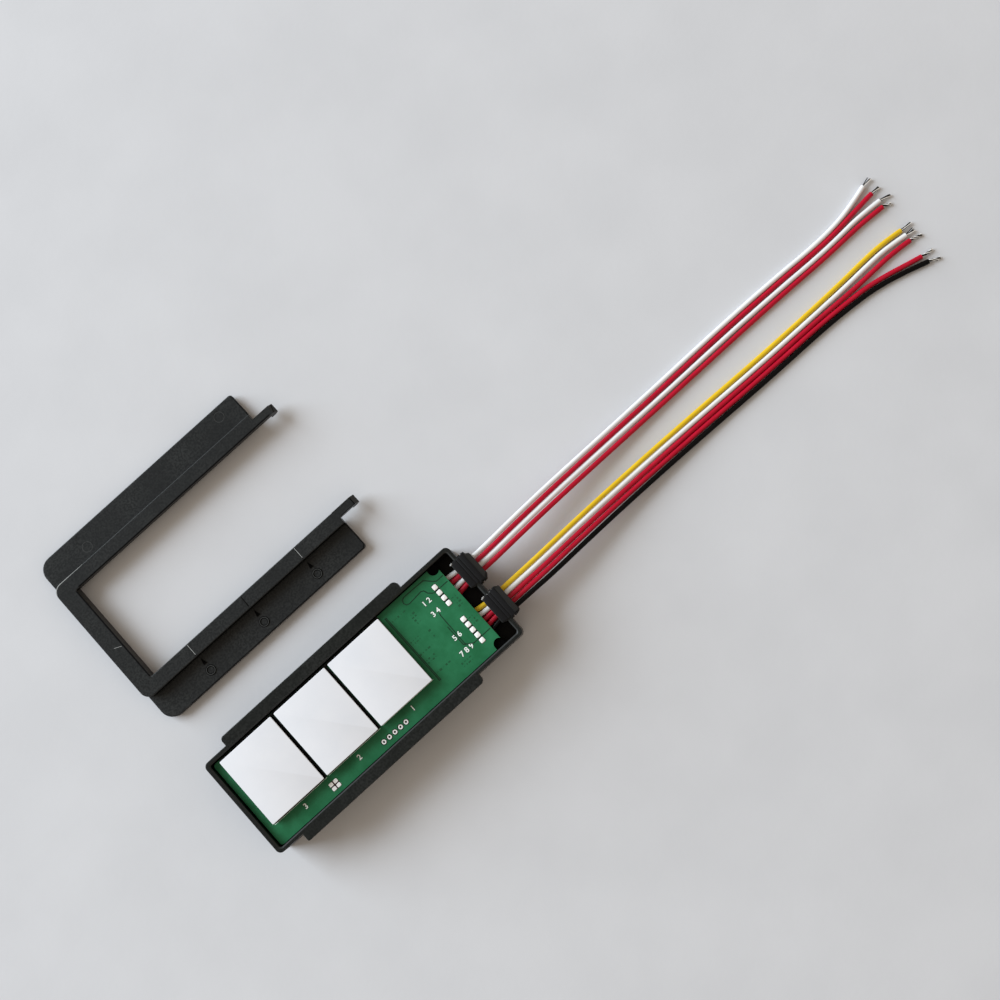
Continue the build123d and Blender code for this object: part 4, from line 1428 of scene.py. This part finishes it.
@dataclass(frozen=True)
class BracketLines(SubAssembly):
    """The bracket's fine lines, all painted light and shade: ticks, grooves, edges, the marks' outlines and a
    lit crease.
    """

    plate_top: float = 0.0026
    ring_y: float = 0.0370
    ring_radius: float = 0.00145
    ring_line: float = 0.0003
    ring_rise: float = 0.00025
    wedge_foot: float = 0.03965
    wedge_tip: float = 0.04115
    wedge_half: float = 0.0004
    shade_width: float = 0.00018
    places: tuple[float, ...] = (-0.029475, -0.008575, 0.012325)
    stud_marks: tuple[Plan, ...] = ((0.0214, 0.0915), (-0.0331, 0.0890))
    stud_radius: float = 0.0016
    stud_line: float = 0.00011
    corner: Plan = (-0.0457, 0.08245)
    corner_radius: float = 0.0029
    crease_top: float = 0.00555
    crease_width: float = 0.0003
    crease_ends: Plan = (-0.0410, -0.0370)
    crease_shares: Plan = (0.55, 0.25)
    wedge_lift: float = 0.00003
    # The pale lines are painted highlights and the near-black ones are painted shade.
    scores: tuple[Score, ...] = (
        Score((-0.02934, 0.0430, 0.0056), (-0.02934, 0.0467, 0.0056), 0.00017, Finish.PAINTED_HIGHLIGHT),
        Score((-0.00844, 0.0430, 0.0056), (-0.00844, 0.0467, 0.0056), 0.00020, Finish.HOLLOW),
        Score((0.01246, 0.0430, 0.0056), (0.01246, 0.0467, 0.0056), 0.00017, Finish.PAINTED_HIGHLIGHT),
        Score((-0.0420, 0.08112, 0.0056), (0.0330, 0.08112, 0.0056), 0.00036, Finish.HOLLOW),
        Score((-0.0460, 0.0604, 0.0056), (-0.0438, 0.0594, 0.0056), 0.00014, Finish.PAINTED_HIGHLIGHT),
        Score((-0.0434, 0.0473, 0.0056), (-0.0434, 0.0805, 0.0056), 0.00036, Finish.HOLLOW),
        Score((-0.0400, 0.03350, 0.0026), (0.0274, 0.03350, 0.0026), 0.00024, Finish.HOLLOW),
        Score((0.0274, 0.03350, 0.0026), (0.0282, 0.03430, 0.0026), 0.00024, Finish.HOLLOW),
        Score((0.0282, 0.03430, 0.0026), (0.0282, 0.0422, 0.0026), 0.00024, Finish.HOLLOW),
        Score((0.0282, 0.0857, 0.0026), (0.0282, 0.0934, 0.0026), 0.00024, Finish.HOLLOW),
        Score((0.0342, 0.0443, 0.0056), (0.0342, 0.0466, 0.0056), 0.00032, Finish.HOLLOW),
        Score((0.0289, 0.0445, 0.0056), (0.0342, 0.0445, 0.0056), 0.00018, Finish.HOLLOW),
        Score((0.0345, 0.0809, 0.0054), (0.0352, 0.0832, 0.0047), 0.00032, Finish.HOLLOW),
    )

    def build(self) -> None:
        """Draws the straight lines of each finish, then the outlines of the rings and wedges."""
        for finish in (Finish.PAINTED_HIGHLIGHT, Finish.HOLLOW):
            bars = [swept(np.array([score.start, score.end]), strip_section(score.width, SKIN))
                    for score in self.scores if score.finish is finish]
            self.draw(bars, f"bracket_{finish.name.lower()}_lines", finish)
        self.outlines()
        self.crease()
        log.info("drew the bracket's lines and %d outlines", len(self.places))

    def draw(self, surfaces: Sequence[Surface], name: str, finish: Finish) -> None:
        """Puts flat-shaded surfaces on the bracket as one piece."""
        self.put(surfaces, name, finish, "bracket", smooth=False)

    def outlines(self) -> None:
        """Draws the shade round each ring and wedge, and the light on each ring and each mould mark."""
        inner = self.ring_radius - self.ring_line
        outer = self.ring_radius
        shade = self.shade_width
        half = self.wedge_half + shade
        foot = self.wedge_foot - shade
        tip = self.wedge_tip + 2.5 * shade
        top = self.plate_top + self.ring_rise
        levels = [(0.0, self.plate_top - SKIN), (0.0, top + self.wedge_lift)]
        shades = []
        lights = []
        for x in self.places:
            centre = (x, self.ring_y)
            shades.append(turned(flat_ring(outer - shade / 2, outer + shade, self.plate_top), centre))
            shades.append(turned(flat_ring(inner - shade, inner + shade / 2, self.plate_top), centre))
            shades.append(stacked(np.array([(x - half, foot), (x + half, foot), (x, tip)]), levels))
            lights.append(turned(flat_ring(inner + shade / 2, outer - shade / 2, top), centre))
        stud = flat_ring(self.stud_radius - self.stud_line, self.stud_radius, self.plate_top)
        lights += [turned(stud, place) for place in self.stud_marks]
        self.draw(shades, "bracket_mark_shades", Finish.HOLLOW)
        self.draw(lights, "bracket_mark_lights", Finish.GLINT)

    def crease(self) -> None:
        """Draws the lit crease round the ridge's far corner, which thins out along the ridge.

        A point of the curve is the corner's centre plus the radius times cosine and sine.
        """
        angle = np.radians(np.linspace(160, 90, 8))
        side = self.corner[1] + self.corner_radius
        x = np.append(self.corner[0] + self.corner_radius * np.cos(angle), self.crease_ends)
        y = np.append(self.corner[1] + self.corner_radius * np.sin(angle), [side] * len(self.crease_ends))
        path = np.stack([x, y, np.full(x.shape, self.crease_top)], 1)
        widths = np.append(np.ones(angle.shape), self.crease_shares)
        line = swept(path, strip_section(self.crease_width, SKIN), widths)
        self.draw([line], "bracket_corner_crease", Finish.PAINTED_HIGHLIGHT)


@dataclass(frozen=True)
class Carried(SubAssembly):
    """The CAD nodes whose shape is already right, by their finish."""

    nodes: tuple[tuple[Finish, tuple[str, ...]], ...] = (
        (Finish.TRAY, ("tray_housing",)),
        (Finish.PLASTIC, ("bracket_frame",)),
        (Finish.TAPE, ("adhesive_tape_near", "adhesive_tape_far")),
        (Finish.CHIP, ("touch_controller_chip", "output_transistor_1", "output_transistor_2",
                       "output_transistor_3", "voltage_regulator", "reverse_polarity_diode",
                       "chip_resistors")),
        (Finish.CAN, ("filter_capacitors",)),
    )

    def build(self) -> None:
        """Dresses each node."""
        for finish, names in self.nodes:
            for node in names:
                self.dress(node, finish)
                log.info("dressed %s", node)


@dataclass(frozen=True)
class Lamp:
    """A soft rectangular lamp that faces a point."""

    name: str
    place: Point
    aim: Point
    width: float
    watts: float
    tint: Colour

    def build(self) -> None:
        """Hangs the lamp."""
        data = bpy.data.lights.new(self.name, "AREA")
        data.shape = "SQUARE"
        data.size = self.width
        data.energy = self.watts
        data.color = linear(self.tint)[:3]
        lamp = linked(self.name, data)
        direction = Vector(self.aim) - Vector(self.place)
        lamp.rotation_euler = direction.to_track_quat("-Z", "Y").to_euler()
        lamp.location = self.place


@dataclass(frozen=True)
class Studio:
    """The pale table, the room's soft light and the lamps."""

    reach: float = 6.0
    lamps: tuple[Lamp, ...] = (
        Lamp("window_side", (-1.523, 2.194, 1.268), (0.055, -0.02, 0.0), 2.4, 155.6, (232, 244, 255)),
    )
    fill_tint: Colour = (255, 239, 220)
    fill_strength: float = 0.44
    backdrop: Colour = (222, 223, 226)
    floor: PaleFloor = PaleFloor((215, 216, 219), (211, 212, 215))

    def build(self) -> None:
        """Makes the table, the world and the lamps."""
        reach = self.reach
        points = [(-reach, -reach, 0), (reach, -reach, 0), (reach, reach, 0), (-reach, reach, 0)]
        mesh = bpy.data.meshes.new("table")
        mesh.from_pydata(points, [], [(0, 1, 2, 3)])
        mesh.materials.append(self.floor.paint("pale_table"))
        table = linked("table", mesh)
        self.light_room()
        for lamp in self.lamps:
            lamp.build()
        log.info("lit the studio with %d lamps", len(self.lamps))

    def light_room(self) -> None:
        """Gives the room its warm fill light, and its pale backdrop where the camera sees it."""
        world = bpy.data.worlds.new("room")
        bpy.context.scene.world = world
        world.use_nodes = True
        nodes = world.node_tree.nodes
        links = world.node_tree.links
        fill = nodes["Background"]
        fill.inputs["Color"].default_value = linear(self.fill_tint)
        fill.inputs["Strength"].default_value = self.fill_strength
        pale = nodes.new("ShaderNodeBackground")
        pale.inputs["Color"].default_value = linear(self.backdrop)
        path = nodes.new("ShaderNodeLightPath")
        mix = nodes.new("ShaderNodeMixShader")
        links.new(path.outputs["Is Camera Ray"], mix.inputs[0])
        links.new(fill.outputs[0], mix.inputs[1])
        links.new(pale.outputs[0], mix.inputs[2])
        links.new(mix.outputs[0], nodes["World Output"].inputs["Surface"])


def main() -> None:
    """Builds the camera, the cords, then every other sub-assembly and the studio."""
    logging.basicConfig(level=logging.INFO, format="%(message)s")
    bpy.context.scene.view_settings.view_transform = "Standard"
    Camera().build()
    finishes = FinishSet()
    WireLead(finishes, LEAD_A, LEAD_MIDDLES["a"]).build()
    WireLead(finishes, LEAD_B, LEAD_MIDDLES["b"]).build()
    CircuitBoard(finishes).build()
    for number, glue_lap in ((1, 0.00014), (2, 0.00034), (3, 0.00042)):
        TouchKey(finishes, number, glue_lap).build()
    Grommet(finishes, "a", ((0.04325, 0.01148, 0.00030), (0.04360, 0.01160, 0.00020))).build()
    Grommet(finishes, "b", (
        (0.04335, -0.00172, 0.00022), (0.04370, -0.00158, 0.00030), (0.04410, -0.00150, 0.00020),
        (0.04530, -0.00162, 0.00014), (0.04625, -0.00150, 0.00014),
    )).build()
    BracketLines(finishes).build()
    Carried(finishes).build()
    Studio().build()


if __name__ == "__main__":
    main()
